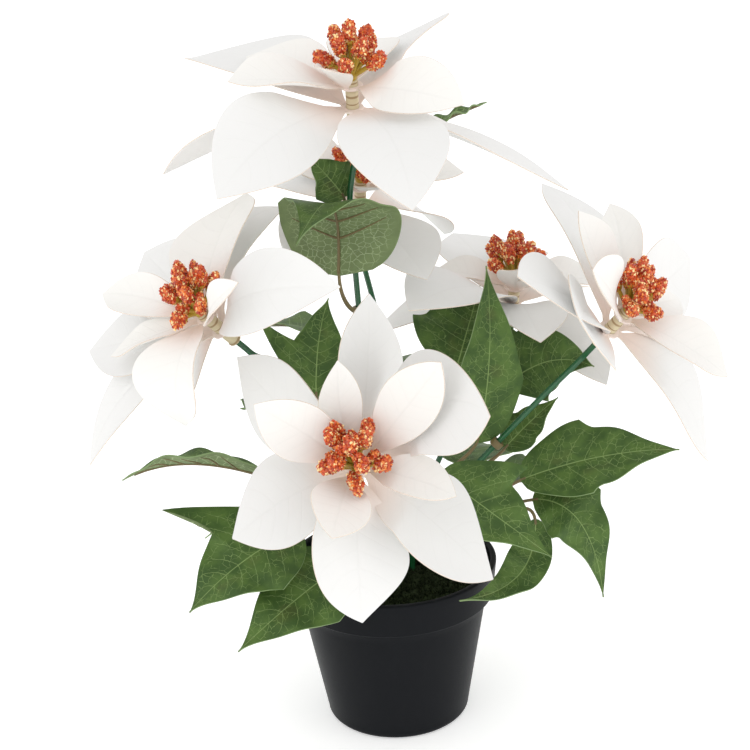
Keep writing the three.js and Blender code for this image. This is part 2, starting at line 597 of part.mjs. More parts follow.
/** The place of a collar: on the straight stretch of a stem at a height, clear of the bends. */
function clipPlace(curve, height) {
  const points = curve.getSpacedPoints(stemSteps(curve));
  const upper = points.findIndex((point) => point.z > height);
  const [start, end] = [points[upper - 1], points[upper]];
  const span = start.distanceTo(end);
  const clear = COLLAR_HEIGHT / 2 + 1;
  const wanted = (span * (height - start.z)) / (end.z - start.z);
  const place = THREE.MathUtils.clamp(wanted, clear, span - clear);
  return { middle: start.clone().lerp(end, place / span), along: end.clone().sub(start).normalize() };
}

/** Half the width of a leaf before its lobes: broad near the root and tapering to a long point. */
function leafHalfWidth(t, leaf) {
  const swell = Math.max(Math.sin(Math.PI * t ** (leaf.swell ?? LEAF_SWELL)), 0) ** (0.75 + 0.6 * t);
  return Math.max((leaf.width / 2) * swell, t < 0.5 ? LEAF_BASE_HALF_WIDTH : TIP_HALF_WIDTH);
}

/** How much of a side lobe there is at t: it grows to a point at the peak and falls back by the end. */
function lobeAt(t) {
  if (t <= LOBE_START || t >= LOBE_END) return 0;
  if (t < LOBE_PEAK) return ((t - LOBE_START) / (LOBE_PEAK - LOBE_START)) ** 1.6;
  return ((LOBE_END - t) / (LOBE_END - LOBE_PEAK)) ** 1.4;
}

/** The middle surface of a leaf: a folded blade carried along a curved midrib. */
function leafSurface(leaf) {
  const [root, bend, tip] = [leaf.root, leaf.bend, leaf.tip].map(vector);
  const midrib = new THREE.QuadraticBezierCurve3(root, bend, tip);
  const binormal = bend.clone().sub(root).cross(tip.clone().sub(bend)).normalize();
  const first = binormal.clone().cross(midrib.getTangent(0)).normalize();
  const face = vector(leaf.face);
  const turn = Math.atan2(face.dot(binormal), face.dot(first));
  return (t, v) => {
    const lobe = lobeAt(t) * leaf.lobes[v < 0 ? 0 : 1];
    const place = t + (v ? LOBE_FORWARD * lobe : 0);
    const along = midrib.getTangent(place);
    const bow = binormal.clone().cross(along).normalize();
    const up = bow.clone().multiplyScalar(Math.cos(turn)).addScaledVector(binormal, Math.sin(turn));
    const side = up.clone().cross(along).normalize();
    const half = leafHalfWidth(t, leaf) + LOBE_REACH * leaf.width * lobe;
    const fold = rad(leaf.fold);
    const ripple = Math.sin(6 * Math.PI * t + (v > 0 ? 2 : 0));
    const wave = LEAF_WAVE * Math.abs(v) * ripple * Math.sin(Math.PI * t);
    return midrib.getPoint(place)
      .addScaledVector(side, v * half * Math.cos(fold))
      .addScaledVector(up, Math.abs(v) * half * Math.sin(fold) + wave);
  };
}

/** A leaf with its petiole and the collar that clips it to its stem. */
function clippedLeaf(leaf, curve) {
  const { middle, along } = clipPlace(curve, leaf.height);
  const bore = (STEM_RADIUS + FIT_GAP) / Math.cos(Math.PI / COLLAR_SIDES);
  const collar = turned([
    [bore, -COLLAR_HEIGHT / 2],
    [bore + COLLAR_WALL, -COLLAR_HEIGHT / 2],
    [bore + COLLAR_WALL, COLLAR_HEIGHT / 2],
    [bore, COLLAR_HEIGHT / 2],
    [bore, -COLLAR_HEIGHT / 2],
  ], COLLAR_SIDES);
  const upright = new THREE.Vector3(0, 0, 1);
  collar.applyQuaternion(new THREE.Quaternion().setFromUnitVectors(upright, along));
  collar.translate(...middle.toArray());
  const [root, bend] = [vector(leaf.root), vector(leaf.bend)];
  const outward = root.clone().sub(middle);
  outward.addScaledVector(along, -outward.dot(along)).normalize();
  const start = middle.clone().addScaledVector(outward, bore + COLLAR_WALL / 2);
  const run = bend.clone().sub(root).normalize();
  const reach = start.distanceTo(root) / 3;
  const petiole = new THREE.CubicBezierCurve3(
    start,
    start.clone().addScaledVector(outward, reach).addScaledVector(along, reach / 3),
    root.clone().addScaledVector(run, -reach),
    root.clone().addScaledVector(run, 3),
  );
  const blade = sheet(LEAF_ROWS, leafSurface(leaf));
  return toGeometry(join([collar, rod(petiole, PETIOLE_RADIUS, PETIOLE_SIDES, PETIOLE_STEPS), blade]));
}

const poinsettia = new THREE.Group();
poinsettia.add(pot(), moss());
const curves = {};
for (const bloom of BLOOMS) {
  const curve = stemCurve(bloom);
  curves[bloom.name] = curve;
  const stem = rod(curve, STEM_RADIUS, STEM_SIDES, stemSteps(curve));
  poinsettia.add(named(`${bloom.name}_stem`, stem, "stem"), ...bloomParts(bloom));
}
LEAVES.forEach((each, k) => {
  const number = String(k + 1).padStart(2, "0");
  poinsettia.add(named(`leaf_${number}`, clippedLeaf(each, curves[each.stem]), "leaf"));
});

export default poinsettia;
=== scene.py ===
"""A white fabric poinsettia bush in a black nursery pot, dressed over its packed solids.

Each operator makes one group of pieces: the pot, the moss, the wire stems, the necks, the two whorls of
bracts of each bloom, the glitter flower heads and the leaves. Shapes are worked out in millimetres.
"""

import math

import bpy
import numpy as np
from mathutils import Matrix


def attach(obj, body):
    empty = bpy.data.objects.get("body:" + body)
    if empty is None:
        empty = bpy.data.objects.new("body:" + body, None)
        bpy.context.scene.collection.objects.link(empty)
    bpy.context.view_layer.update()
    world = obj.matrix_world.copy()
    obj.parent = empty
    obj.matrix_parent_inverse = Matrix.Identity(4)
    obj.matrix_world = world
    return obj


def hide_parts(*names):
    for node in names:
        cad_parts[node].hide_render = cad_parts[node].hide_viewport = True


bl_info = {
    "name": "Fabric Poinsettia",
    "version": (1, 0, 0),
    "blender": (4, 5, 0),
    "location": "View3D > Sidebar > Poinsettia",
    "description": "Builds a white fabric poinsettia bush and its nursery pot, piece by piece",
    "category": "Add Mesh",
}

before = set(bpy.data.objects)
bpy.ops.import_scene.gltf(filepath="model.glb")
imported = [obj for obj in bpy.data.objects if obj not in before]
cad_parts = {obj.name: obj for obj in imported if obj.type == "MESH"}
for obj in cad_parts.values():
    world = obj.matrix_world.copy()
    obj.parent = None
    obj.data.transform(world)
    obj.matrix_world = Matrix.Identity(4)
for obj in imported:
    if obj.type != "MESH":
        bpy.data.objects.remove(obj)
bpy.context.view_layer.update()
MM = 0.001
FLOOR_HALF = 40

# Sizes shared with the solids, in millimetres
POT_HEIGHT = 95
RIM_RADIUS = 60
BAND_HEIGHT = 20
BAND_FOOT_RADIUS = 58
BODY_TOP_RADIUS = 54
BODY_FOOT_RADIUS = 41.5
FOOT_ROUNDING = 4
POT_WALL = 1.8
LIP_WIDTH = 3
PLUG_EDGE_HEIGHT = 84
PLUG_CROWN = 5
HOLE_DEPTH = 50
STEM_RADIUS = 1.8
FIT_GAP = 0.35
COLLAR_WALL = 1.1
COLLAR_HEIGHT = 4
PETIOLE_RADIUS = 1.2
LEAF_WAVE = 1.6
LEAF_BASE_HALF_WIDTH = 1.4
TIP_HALF_WIDTH = 0.3
LOBE_START = 0.08
LOBE_PEAK = 0.38
LOBE_END = 0.5
LOBE_FORWARD = 0.14
LOBE_REACH = 0.28
HUB_RADIUS = 6
HUB_THICKNESS = 1.4
CLAW_HALF_WIDTH = 2.3
OUTER_CUP = 14
INNER_CUP = 38
INNER_WHORL_HEIGHT = 13
NECK_RADIUS = 3.4
NECK_FLANGE_RADIUS = 4.8
NECK_BELOW = 12
NECK_ABOVE = 17
FLANGE_TAPER = 1.6
STEM_STOP = 2
BLADE_START = 0.8
ROLL_END = 0.35
HEAD_RADIUS = 3.9
HEAD_LENGTH = 11.5
STALK_RADIUS = 1.1
SPRAY_BASE_RADIUS = 3.2

# How far the cut edges of the hub rings and collars run up them, in millimetres
RING_BEVEL = 0.4

# How finely curved pieces are cut
BRACT_ROWS = 44
BRACT_COLUMNS = 25
LEAF_ROWS = 46
LEAF_COLUMNS = 29
MIDRIB_STEPS = 24
SIDE_RIB_STEPS = 10
PETIOLE_STEPS = 26
STALK_STEPS = 7
CORE_STEPS = 10
STEM_STEPS = 12

# A flower head's main knob has these shares of its solid's radius and length
HEAD_SLIMNESS = 0.76
HEAD_STRETCH = 1.08

# Rings of flower heads: count, tilt from the bloom's axis in degrees, stalk length in millimetres, share of
# the full head size, and how far round the ring starts, as a share of one step
HEAD_RINGS = ((1, 0, 16, 1.0, 0.0), (4, 29, 14, 1.0, 0.5), (5, 54, 12, 1.0, 1.0), (4, 44, 10, 0.72, 0.0),
              (3, 16, 13, 0.8, 0.3))

# Where the side veins of a leaf or bract leave the midrib, the step from one to the next and how far they
# run forward to the edge, in shares of the length; the power that curves them; and how many of them, from
# the second on, have a rib under a leaf
VEIN_FIRST = 0.06
VEIN_STEP = 0.115
VEIN_FORWARD = 0.17
VEIN_CURVE = 1.25
SIDE_RIBS = 6

# Each bloom: the hub of its outer whorl, the way it faces (azimuth 0 is the front, 90 the right, and
# elevation is above level), the length and width of its bracts, and each bract's clock angle as seen
# from its face, its rise at the root, its droop, its roll about its midrib and the sway of its tip in
# degrees, its share of the full size and a further share of its breadth alone. lean is how far the
# flower heads lean to the right and up for each millimetre of their height.
BLOOMS = {
    "front": {
        "hub": (-16, -75, 184), "azimuth": -1, "elevation": 26,
        "outer_size": (88, 54), "inner_size": (62, 37),
        "lean": (-0.08, 0.4),
        "outer": [
            (11, 12, 0, 45, -6, 0.97, 0.89),
            (44, 20, -39, -45, 27, 1.24, 0.99),
            (123, 11, 29, -41, 13, 0.92, 1.22),
            (182, 44, 70, -31, -2, 0.91, 1.15),
            (254, 26, 20, 15, -13, 0.78, 1.15),
            (307, -1, 23, -27, 10, 0.92, 0.91),
        ],
        "inner": [
            (342, 26, 0, -4, 11, 0.84, 0.8),
            (45, 28, -41, 0, 0, 1.42, 0.61),
            (102, 25, -12, -33, 9, 0.94, 0.79),
            (205, 42, -5, 2, -5, 0.75, 1.21),
            (306, 30, -2, -10, -3, 0.98, 0.91),
        ],
    },
    "left": {
        "hub": (-85, -20, 245), "azimuth": -50, "elevation": 45,
        "outer_size": (90, 50), "inner_size": (62, 40),
        "lean": (-0.05, 0.35),
        "outer": [
            (78, 59, 95, 17, -8, 1.15, 0.78),
            (228, -25, 30, 0, 0, 0.8, 1),
            (226, 14, 44, -14, -12, 1.26, 0.48),
            (245, 14, 20, 0, 0, 1, 1),
            (286, 13, 20, 0, 0, 1.04, 1),
            (330, 33, 83, 29, 10, 1.13, 0.5),
        ],
        "inner": [
            (-31, 19, 32, 2, 14, 1.15, 1.19),
            (101, 46, 39, 33, -21, 1.15, 0.46),
            (168, 30, 100, 3, 1, 1, 1.37),
            (222, 23, 31, 14, 8, 0.93, 0.6),
            (263, 37, 44, -2, -3, 1.11, 0.62),
        ],
    },
    "top": {
        "hub": (-9, 5, 355), "azimuth": 0, "elevation": 72,
        "outer_size": (106, 58), "inner_size": (64, 42),
        "lean": (0, 0.3),
        "outer": [
            (27, 16, 28, -30, 6, 0.95, 0.76),
            (112, -4, 22, -28, -1, 1.11, 1.01),
            (157, 25, 48, -6, 10, 1.03, 0.98),
            (222, 25, 42, -21, -6, 1.05, 0.89),
            (270, -4, 30, 35, 0, 1, 1),
            (312, 19, 46, 10, 3, 1.16, 1.12),
        ],
        "inner": [
            (10, 5, 20, 0, 0, 1, 1),
            (134, 22, 40, 33, -10, 0.99, 0.89),
            (215, 50, 10, 0, 0, 0.5, 1),
            (250, 26, 20, 0, 0, 1, 1),
            (305, 10, 20, 0, 0, 1, 1),
        ],
    },
    "back": {
        "hub": (-8, 75, 285), "azimuth": 10, "elevation": 72,
        "outer_size": (84, 50), "inner_size": (56, 38),
        "lean": (0, 0),
        "outer": [
            (356, 10, 30, 0, 0, 1, 1),
            (61, -11, 50, 0, 0, 0.97, 1),
            (165, 12, 25, 0, 0, 0.94, 1),
            (185, 35, 30, 0, 0, 0.7, 1),
            (228, 20, 30, 0, 0, 0.8, 1),
            (330, 3, 30, 0, 0, 1, 1),
        ],
        "inner": [
            (25, 25, 30, 0, 0, 1, 1),
            (100, 25, 30, 0, 0, 1, 1),
            (165, 30, -4, 0, 0, 0.8, 1),
            (240, 30, -4, 0, 0, 0.8, 1),
            (310, 25, 30, 0, 0, 1, 1),
        ],
    },
    "middle": {
        "hub": (79, 70, 221), "azimuth": 20, "elevation": 78,
        "outer_size": (84, 48), "inner_size": (52, 36),
        "lean": (0, 0.3),
        "outer": [
            (360, 19, 30, 0, 0, 1.03, 1),
            (52, 8, 50, 0, 0, 1.01, 1),
            (162, 13, 50, 0, 0, 0.93, 1),
            (201, 46, 62, 0, -6, 0.92, 1.05),
            (242, 52, 62, 0, 0, 1.25, 1),
            (305, 0, 40, 0, 0, 1, 1),
        ],
        "inner": [
            (30, 12, 30, 0, 0, 1, 1),
            (100, 15, 30, 0, 0, 1, 1),
            (165, 44, 30, 0, 0, 0.75, 1),
            (205, 44, -6, 0, 0, 0.68, 1),
            (310, 15, 30, 0, 0, 0.9, 1),
        ],
    },
    "right": {
        "hub": (123, -15, 232), "azimuth": 48, "elevation": 48,
        "outer_size": (88, 50), "inner_size": (60, 40),
        "lean": (0.1, 0.3),
        "outer": [
            (21, 34, 64, 2, -1, 1.14, 0.75),
            (83, 17, 29, 32, -3, 1.06, 0.91),
            (104, 10, 46, 9, 11, 1.05, 0.5),
            (144, 1, 43, -1, 13, 1.04, 1.07),
            (292, 37, 25, 13, -1, 1.09, 1.04),
            (269, 30, -6, -15, 0, 1, 1.1),
        ],
        "inner": [
            (32, 34, 49, -44, 3, 1.12, 0.59),
            (99, 21, 30, 0, 0, 0.68, 1),
            (160, 26, 30, 0, 0, 1, 1),
            (284, 50, 24, -30, 2, 1.08, 0.8),
            (340, 32, -4, 0, 0, 1, 1),
        ],
    },
}

# Each stem is named for its bloom: the hole it stands in and the points it bends through.
STEMS = {
    "front": {"foot": (-6, -16), "bends": [(-10, -34, 128)]},
    "left": {"foot": (-14, -4), "bends": [(-20, -5, 130), (-38, -5, 180), (-60, -2, 218)]},
    "top": {"foot": (-4, 4), "bends": [(-8, 6, 170), (-12, 9, 262), (-13, 11, 305)]},
    "back": {"foot": (4, 14), "bends": [(6, 30, 150), (0, 54, 215)]},
    "middle": {"foot": (12, 10), "bends": [(24, 24, 130), (54, 54, 175)]},
    "right": {"foot": (12, -4), "bends": [(24, -5, 125), (54, -5, 157), (86, -5, 190)]},
}

# Each leaf: the stem it is clipped to and how high, the root, bend and tip of its midrib, the way its
# upper side faces at the root, its width, the fold of its halves in degrees, and how far the side lobes
# on its left and right reach, and its swell: the lower, the nearer to the root it is widest.
LEAVES = [
    ("left", 140, (-65, -40, 167), (-110, -47, 189), (-142, -45, 171),
     (0, 0.3, 1), 36, 20, (0, 0), 0.66),
    ("front", 120, (-50, -43, 136), (-83, -65, 132), (-108, -83, 110),
     (-0.2, -0.6, 0.75), 52, 8, (1.8, 0.3), 0.66),
    ("front", 104, (-26, -52, 118), (-50, -70, 112), (-83, -95, 92),
     (0, -0.6, 0.8), 48, 8, (0.2, 0.2), 0.66),
    ("left", 178, (-37, -15, 202), (-36, -14, 235), (-27, -20, 259),
     (0.1, -0.95, 0.3), 30, 8, (0, 2.3), 0.66),
    ("top", 243, (-21, -9, 268), (-15, 18, 330), (-41, -46, 296),
     (0.48, 0.88, 0), 72, 6, (0.2, 0.05), 0.5),
    ("top", 290, (-16, 14, 305), (-24, 12, 318), (-34, 6, 330),
     (0, -0.7, 0.7), 24, 10, (0.4, 0.4), 0.66),
    ("middle", 150, (42, 26, 199), (52, 44, 223), (60, 72, 234),
     (-0.1, -0.8, 0.55), 56, 6, (0.3, 0.3), 0.66),
    ("right", 140, (51, -2, 165), (63, 0, 213), (58, -8, 269),
     (0.2, -0.95, 0.2), 36, 18, (0.15, 0.15), 0.66),
    ("right", 165, (69, 14, 192), (95, 20, 212), (116, -6, 208),
     (0, -0.6, 0.8), 42, 8, (0.3, 0.3), 0.66),
    ("right", 130, (74, -12, 145), (118, -14, 162), (161, -20, 162),
     (-0.1, -0.5, 0.85), 44, 8, (0.3, 0.3), 0.66),
    ("front", 132, (27, -46, 166), (50, -60, 151), (83, -82, 131),
     (0.1, -0.6, 0.8), 44, 8, (0.2, 0.9), 0.66),
    ("right", 112, (80, -17, 135), (112, -24, 138), (116, -40, 84),
     (0.2, -0.6, 0.8), 38, 8, (0.3, 0.3), 0.66),
    ("right", 102, (80, -30, 129), (79, -45, 92), (34, -85, 110),
     (0, -0.5, 0.85), 24, 10, (0, 0), 0.66),
    ("top", 326, (28, 22, 338), (46, 30, 345), (64, 40, 348),
     (0, 0.12, 1), 16, 10, (0, 0), 0.66),
    ("back", 190, (-28, 66, 208), (-60, 80, 222), (-92, 92, 205),
     (0, 0.2, 1), 46, 8, (0.4, 0.4), 0.66),
    ("back", 165, (8, 66, 178), (10, 100, 190), (14, 132, 168),
     (0, 0.2, 1), 50, 8, (0.4, 0.4), 0.66),
    ("middle", 185, (96, 84, 180), (122, 96, 186), (140, 112, 162),
     (0.2, 0.2, 1), 44, 8, (0.4, 0.4), 0.66),
    ("left", 160, (-44, 24, 172), (-66, 46, 184), (-86, 72, 170),
     (-0.2, 0.2, 1), 44, 8, (0.4, 0.4), 0.66),
    ("right", 120, (62, 22, 128), (96, 36, 136), (128, 46, 118),
     (0.2, 0.2, 1), 44, 8, (0.4, 0.4), 0.66),
    ("back", 125, (-14, 52, 134), (-34, 82, 142), (-52, 108, 118),
     (0, 0.2, 1), 50, 8, (0.4, 0.4), 0.66),
    ("middle", 122, (44, 54, 128), (58, 84, 136), (72, 112, 112),
     (0.1, 0.2, 1), 50, 8, (0.4, 0.4), 0.66),
    ("left", 115, (-52, 6, 122), (-82, 12, 128), (-108, 16, 106),
     (-0.2, 0, 1), 44, 8, (0.4, 0.4), 0.66),
    ("right", 150, (67, 6, 157), (79, 8, 170), (98, 10, 185),
     (-0.1, -0.6, 0.8), 22, 8, (0.2, 0.2), 0.66),
]


# ---- meshes ----

# Slowest and fastest pace of a wave in a bumpy field
RIPPLE_PACES = (0.6, 1.8)


class Shape:
    """Points in millimetres, the faces on them as (finish number, array of corners), and point fields."""

    def __init__(self, points, faces, **fields):
        self.points = np.asarray(points, float).reshape(-1, 3)
        self.faces = faces
        self.fields = fields

    def moved(self, place):
        """The same shape with its points put through a function."""
        return Shape(place(self.points), self.faces, **self.fields)

    def finished(self, number):
        """The same shape with all its faces in one finish."""
        return Shape(self.points, [(number, corners) for _, corners in self.faces], **self.fields)


def unit(vectors):
    """Each vector divided by its own length."""
    return vectors / np.maximum(np.linalg.norm(vectors, axis=-1, keepdims=True), 1e-9)


def piece(name, shapes, paints, node, smooth_below=40):
    """One mesh object made of shapes, riding on the root body and standing for a solid.

    Shapes are laid one after another, so each face's corners are its own numbers plus the number of
    points before it. Edges that turn by more than smooth_below degrees stay sharp.
    """
    starts = np.cumsum([0] + [len(shape.points) for shape in shapes])
    corners, sizes, finishes = [], [], []
    for shape, start in zip(shapes, starts):
        for number, faces in shape.faces:
            corners.append((faces + start).ravel())
            sizes.append(np.full(len(faces), faces.shape[1]))
            finishes.append(np.full(len(faces), number))
    corners, sizes, finishes = (np.concatenate(part) for part in (corners, sizes, finishes))
    mesh = bpy.data.meshes.new(name)
    mesh.vertices.add(int(starts[-1]))
    mesh.vertices.foreach_set("co", np.concatenate([shape.points for shape in shapes]).ravel() * MM)
    mesh.loops.add(len(corners))
    mesh.loops.foreach_set("vertex_index", corners)
    mesh.polygons.add(len(sizes))
    mesh.polygons.foreach_set("loop_start", np.cumsum(sizes) - sizes)
    mesh.polygons.foreach_set("material_index", finishes)
    mesh.update(calc_edges=True)
    if mesh.validate():
        raise RuntimeError(f"{name} has faces that don't close")
    for field in sorted({field for shape in shapes for field in shape.fields}):
        wide = any(np.ndim(shape.fields.get(field, 0)) == 2 for shape in shapes)
        attribute = mesh.attributes.new(field, "FLOAT_VECTOR" if wide else "FLOAT", "POINT")
        empty = (3,) if wide else ()
        values = [shape.fields.get(field, np.zeros((len(shape.points), *empty))) for shape in shapes]
        attribute.data.foreach_set("vector" if wide else "value", np.concatenate(values).ravel())
    mesh.polygons.foreach_set("use_smooth", np.ones(len(sizes), bool))
    mesh.set_sharp_from_angle(angle=math.radians(smooth_below))
    for paint in paints:
        mesh.materials.append(paint)
    made = bpy.data.objects.new(name, mesh)
    bpy.context.scene.collection.objects.link(made)
    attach(made, "root")
    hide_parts(node)


def strip_faces(rows, around, closed_rows=False):
    """The quads of a grid that closes on itself sideways: row i, step k joins row i + 1, step k + 1."""
    row = np.arange(rows if closed_rows else rows - 1)[:, None]
    step = np.arange(around)[None, :]
    after, beside = (row + 1) % rows, (step + 1) % around
    quads = [row * around + step, row * around + beside, after * around + beside, after * around + step]
    return np.stack(quads, axis=-1).reshape(-1, 4)


def turned(profile, sides):
    """A profile of (radius, height) pairs turned round +Z: x = radius cos a, y = radius sin a.

    It runs from the bottom up the outside. An end on the axis closes in one point, and a profile whose
    last pair is its first closes on itself.
    """
    profile = np.asarray(profile, float)
    looped = bool(np.allclose(profile[0], profile[-1]))
    ring = profile[:-1] if looped else profile[profile[:, 0] > 0]
    angle = np.arange(sides) * 2 * math.pi / sides
    radius, height = ring[:, 0][:, None], ring[:, 1][:, None]
    flat = [radius * np.cos(angle), radius * np.sin(angle), height + 0 * angle]
    points = np.stack(flat, axis=-1).reshape(-1, 3)
    faces = [(0, strip_faces(len(ring), sides, looped))]
    step = np.arange(sides)
    if not looped and profile[0][0] == 0:
        points = np.vstack([points, [[0, 0, profile[0][1]]]])
        pole = np.full(sides, len(points) - 1)
        faces.append((0, np.stack([pole, (step + 1) % sides, step], axis=-1)))
    if not looped and profile[-1][0] == 0:
        points = np.vstack([points, [[0, 0, profile[-1][1]]]])
        pole = np.full(sides, len(points) - 1)
        last = (len(ring) - 1) * sides
        faces.append((0, np.stack([pole, last + step, last + (step + 1) % sides], axis=-1)))
    return Shape(points, faces)


def bevelled_ring(bore, outer, low, high, inset, sides):
    """A flat ring round +Z whose two outer edges are cut back by inset across and RING_BEVEL up."""
    return turned([
        [bore, low], [outer - inset, low], [outer, low + RING_BEVEL], [outer, high - RING_BEVEL],
        [outer - inset, high], [bore, high], [bore, low],
    ], sides)


def arc(centre, radius, start, end, steps):
    """Points on part of a circle: centre + radius (cos a, sin a), with a from start to end degrees."""
    angle = np.radians(np.linspace(start, end, steps))
    return np.stack([centre[0] + radius * np.cos(angle), centre[1] + radius * np.sin(angle)], axis=-1)


def tube(path, radius, sides, flutes=0, depth=0.0):
    """A round rod along a path: ring points lie at radius from the path, square to it.

    The rings are set out from the direction in which the path bends least. With flutes, the radius
    shrinks by up to depth of itself that many times round.
    """
    path = np.asarray(path, float)
    radius = np.broadcast_to(np.asarray(radius, float), len(path))
    along = unit(np.gradient(path, axis=0))
    flattest = np.linalg.svd(path - path.mean(axis=0), full_matrices=True)[2][-1]
    across = unit(flattest - (along @ flattest)[:, None] * along)
    third = np.cross(along, across)
    angle = np.arange(sides) * 2 * math.pi / sides
    swell = radius[:, None] * (1 - depth * (0.5 - 0.5 * np.cos(flutes * angle)))
    ring = across[:, None] * np.cos(angle)[:, None] + third[:, None] * np.sin(angle)[:, None]
    points = (path[:, None] + ring * swell[..., None]).reshape(-1, 3)
    points = np.vstack([points, path[:1], path[-1:]])
    step, last = np.arange(sides), (len(path) - 1) * sides
    start_pole, end_pole = np.full(sides, len(points) - 2), np.full(sides, len(points) - 1)
    faces = [
        (0, strip_faces(len(path), sides)),
        (0, np.stack([start_pole, (step + 1) % sides, step], axis=-1)),
        (0, np.stack([end_pole, last + step, last + (step + 1) % sides], axis=-1)),
    ]
    return Shape(points, faces)


def sheet(middle, thickness, **fields):
    """A closed thin sheet round a grid of points, finished 0 above, 1 below and 2 on its cut edge.

    Each side lies half the thickness from the grid along its normal, the cross product of the grid's
    two directions. The rim is a band of quads that follows the grid's outline.
    """
    rows, columns = middle.shape[:2]
    normal = unit(np.cross(np.gradient(middle, axis=0), np.gradient(middle, axis=1)))
    points = np.concatenate([middle + normal * thickness / 2, middle - normal * thickness / 2])
    under = rows * columns
    number = np.arange(under).reshape(rows, columns)
    quads = [number[:-1, :-1], number[1:, :-1], number[1:, 1:], number[:-1, 1:]]
    above = np.stack(quads, axis=-1).reshape(-1, 4)
    outline = np.concatenate([number[0, :-1], number[:-1, -1], number[-1, :0:-1], number[:0:-1, 0]])
    after = np.roll(outline, -1)
    rim = np.stack([outline, after, under + after, under + outline], axis=-1)
    doubled = {name: np.concatenate([values, values]) for name, values in fields.items()}
    return Shape(points, [(0, above), (1, above[:, ::-1] + under), (2, rim)], **doubled)


def ripples(seed, count, breadth):
    """A bumpy field over x and y: the mean of count waves in drawn directions and phases.

    Each wave is breadth divided by a drawn pace long.
    """
    draw = np.random.default_rng(seed)
    heading, phase = draw.uniform(0, 2 * math.pi, (2, count))
    pace = draw.uniform(*RIPPLE_PACES, count) * 2 * math.pi / breadth

    def field(points):
        flat = points[:, 0, None] * np.cos(heading) + points[:, 1, None] * np.sin(heading)
        return np.sin(flat * pace + phase).mean(axis=1)

    return field


# ---- materials ----


class Value:
    """A number, colour or vector socket. An expression on Values adds the Math nodes that work it out."""

    def __init__(self, paint, socket):
        self.paint = paint
        self.socket = socket

    def _math(self, operation, *values):
        return self.paint.add("ShaderNodeMath", {"operation": operation}, dict(enumerate(values)))

    def __add__(self, other):
        return self._math("ADD", self, other)

    def __sub__(self, other):
        return self._math("SUBTRACT", self, other)

    def __mul__(self, other):
        return self._math("MULTIPLY", self, other)

    def __truediv__(self, other):
        return self._math("DIVIDE", self, other)

    def __pow__(self, other):
        return self._math("POWER", self, other)

    def __rsub__(self, other):
        return self._math("SUBTRACT", other, self)

    def __abs__(self):
        return self._math("ABSOLUTE", self)

    __radd__ = __add__
    __rmul__ = __mul__

    def fraction(self):
        """What is left of the number above the whole one below it."""
        return self._math("FRACT", self)

    def highest(self, other):
        """The larger of this and another number."""
        return self._math("MAXIMUM", self, other)


class Paint:
    """A material whose nodes are added from Python, ending in one Principled shader."""

    def __init__(self, name):
        self.material = bpy.data.materials.new(name)
        self.material.use_nodes = True
        self.tree = self.material.node_tree
        self.shader = self.tree.nodes["Principled BSDF"]

    def add(self, kind, settings=None, inputs=None, output=0):
        """Adds a node: its settings first, then the values or links of its sockets; gives one output."""
        node = self.tree.nodes.new(kind)
        for name, value in (settings or {}).items():
            if name == "bands":
                self._bands(node.color_ramp, value)
            else:
                setattr(node, name, value)
        for name, value in (inputs or {}).items():
            self._feed(node.inputs[name], value)
        return Value(self, node.outputs[output])

    def _bands(self, ramp, bands):
        ramp.interpolation = "CONSTANT"
        while len(ramp.elements) < len(bands):
            ramp.elements.new(1)
        for element, (place, colour) in zip(ramp.elements, bands):
            element.position = place
            element.color = (*colour, 1)

    def _feed(self, socket, value):
        if isinstance(value, Value):
            self.tree.links.new(value.socket, socket)
        elif hasattr(value, "__len__") and len(value) == 3 and len(socket.default_value) == 4:
            socket.default_value = (*value, 1)
        else:
            socket.default_value = value

    def field(self, name, output=2):
        """One of the piece's own fields, as a number, or as a vector with output 1."""
        return self.add("ShaderNodeAttribute", {"attribute_name": name}, output=output)

    def parts(self, vector):
        """The three parts of a vector."""
        inputs = {0: vector}
        return [self.add("ShaderNodeSeparateXYZ", inputs=inputs, output=output) for output in range(3)]

    def vector(self, x, y, z):
        """A vector made of three numbers."""
        return self.add("ShaderNodeCombineXYZ", inputs={0: x, 1: y, 2: z})

    def place(self):
        """Where a point is on the object, in metres."""
        return self.add("ShaderNodeTexCoord", output=3)

    def noise(self, where, scale, detail):
        """Cloudy noise from 0 to 1 about a half, with scale waves to a unit and detail finer layers."""
        return self.add("ShaderNodeTexNoise", inputs={"Vector": where, "Scale": scale, "Detail": detail})

    def step(self, value, low, high):
        """0 below low, 1 above high and a smooth rise between."""
        inputs = {"Value": value, "From Min": low, "From Max": high}
        return self.add("ShaderNodeMapRange", {"interpolation_type": "SMOOTHSTEP"}, inputs)

    def fade(self, value, full, gone):
        """1 below full, 0 above gone and a smooth fall between."""
        return 1 - self.step(value, full, gone)

    def mix(self, share, first, second):
        """The first colour turning into the second as share goes from 0 to 1."""
        return self.add("ShaderNodeMix", {"data_type": "RGBA"}, {0: share, 6: first, 7: second}, output=2)

    def bump(self, height, distance, strength=1.0):
        """A normal from a height field of that many metres."""
        inputs = {"Height": height, "Distance": distance, "Strength": strength}
        return self.add("ShaderNodeBump", inputs=inputs)

    def finish(self, **inputs):
        """Sets or links the shader's sockets, named in words joined by low lines; gives the material."""
        for name, value in inputs.items():
            self._feed(self.shader.inputs[name.replace("_", " ")], value)
        return self.material


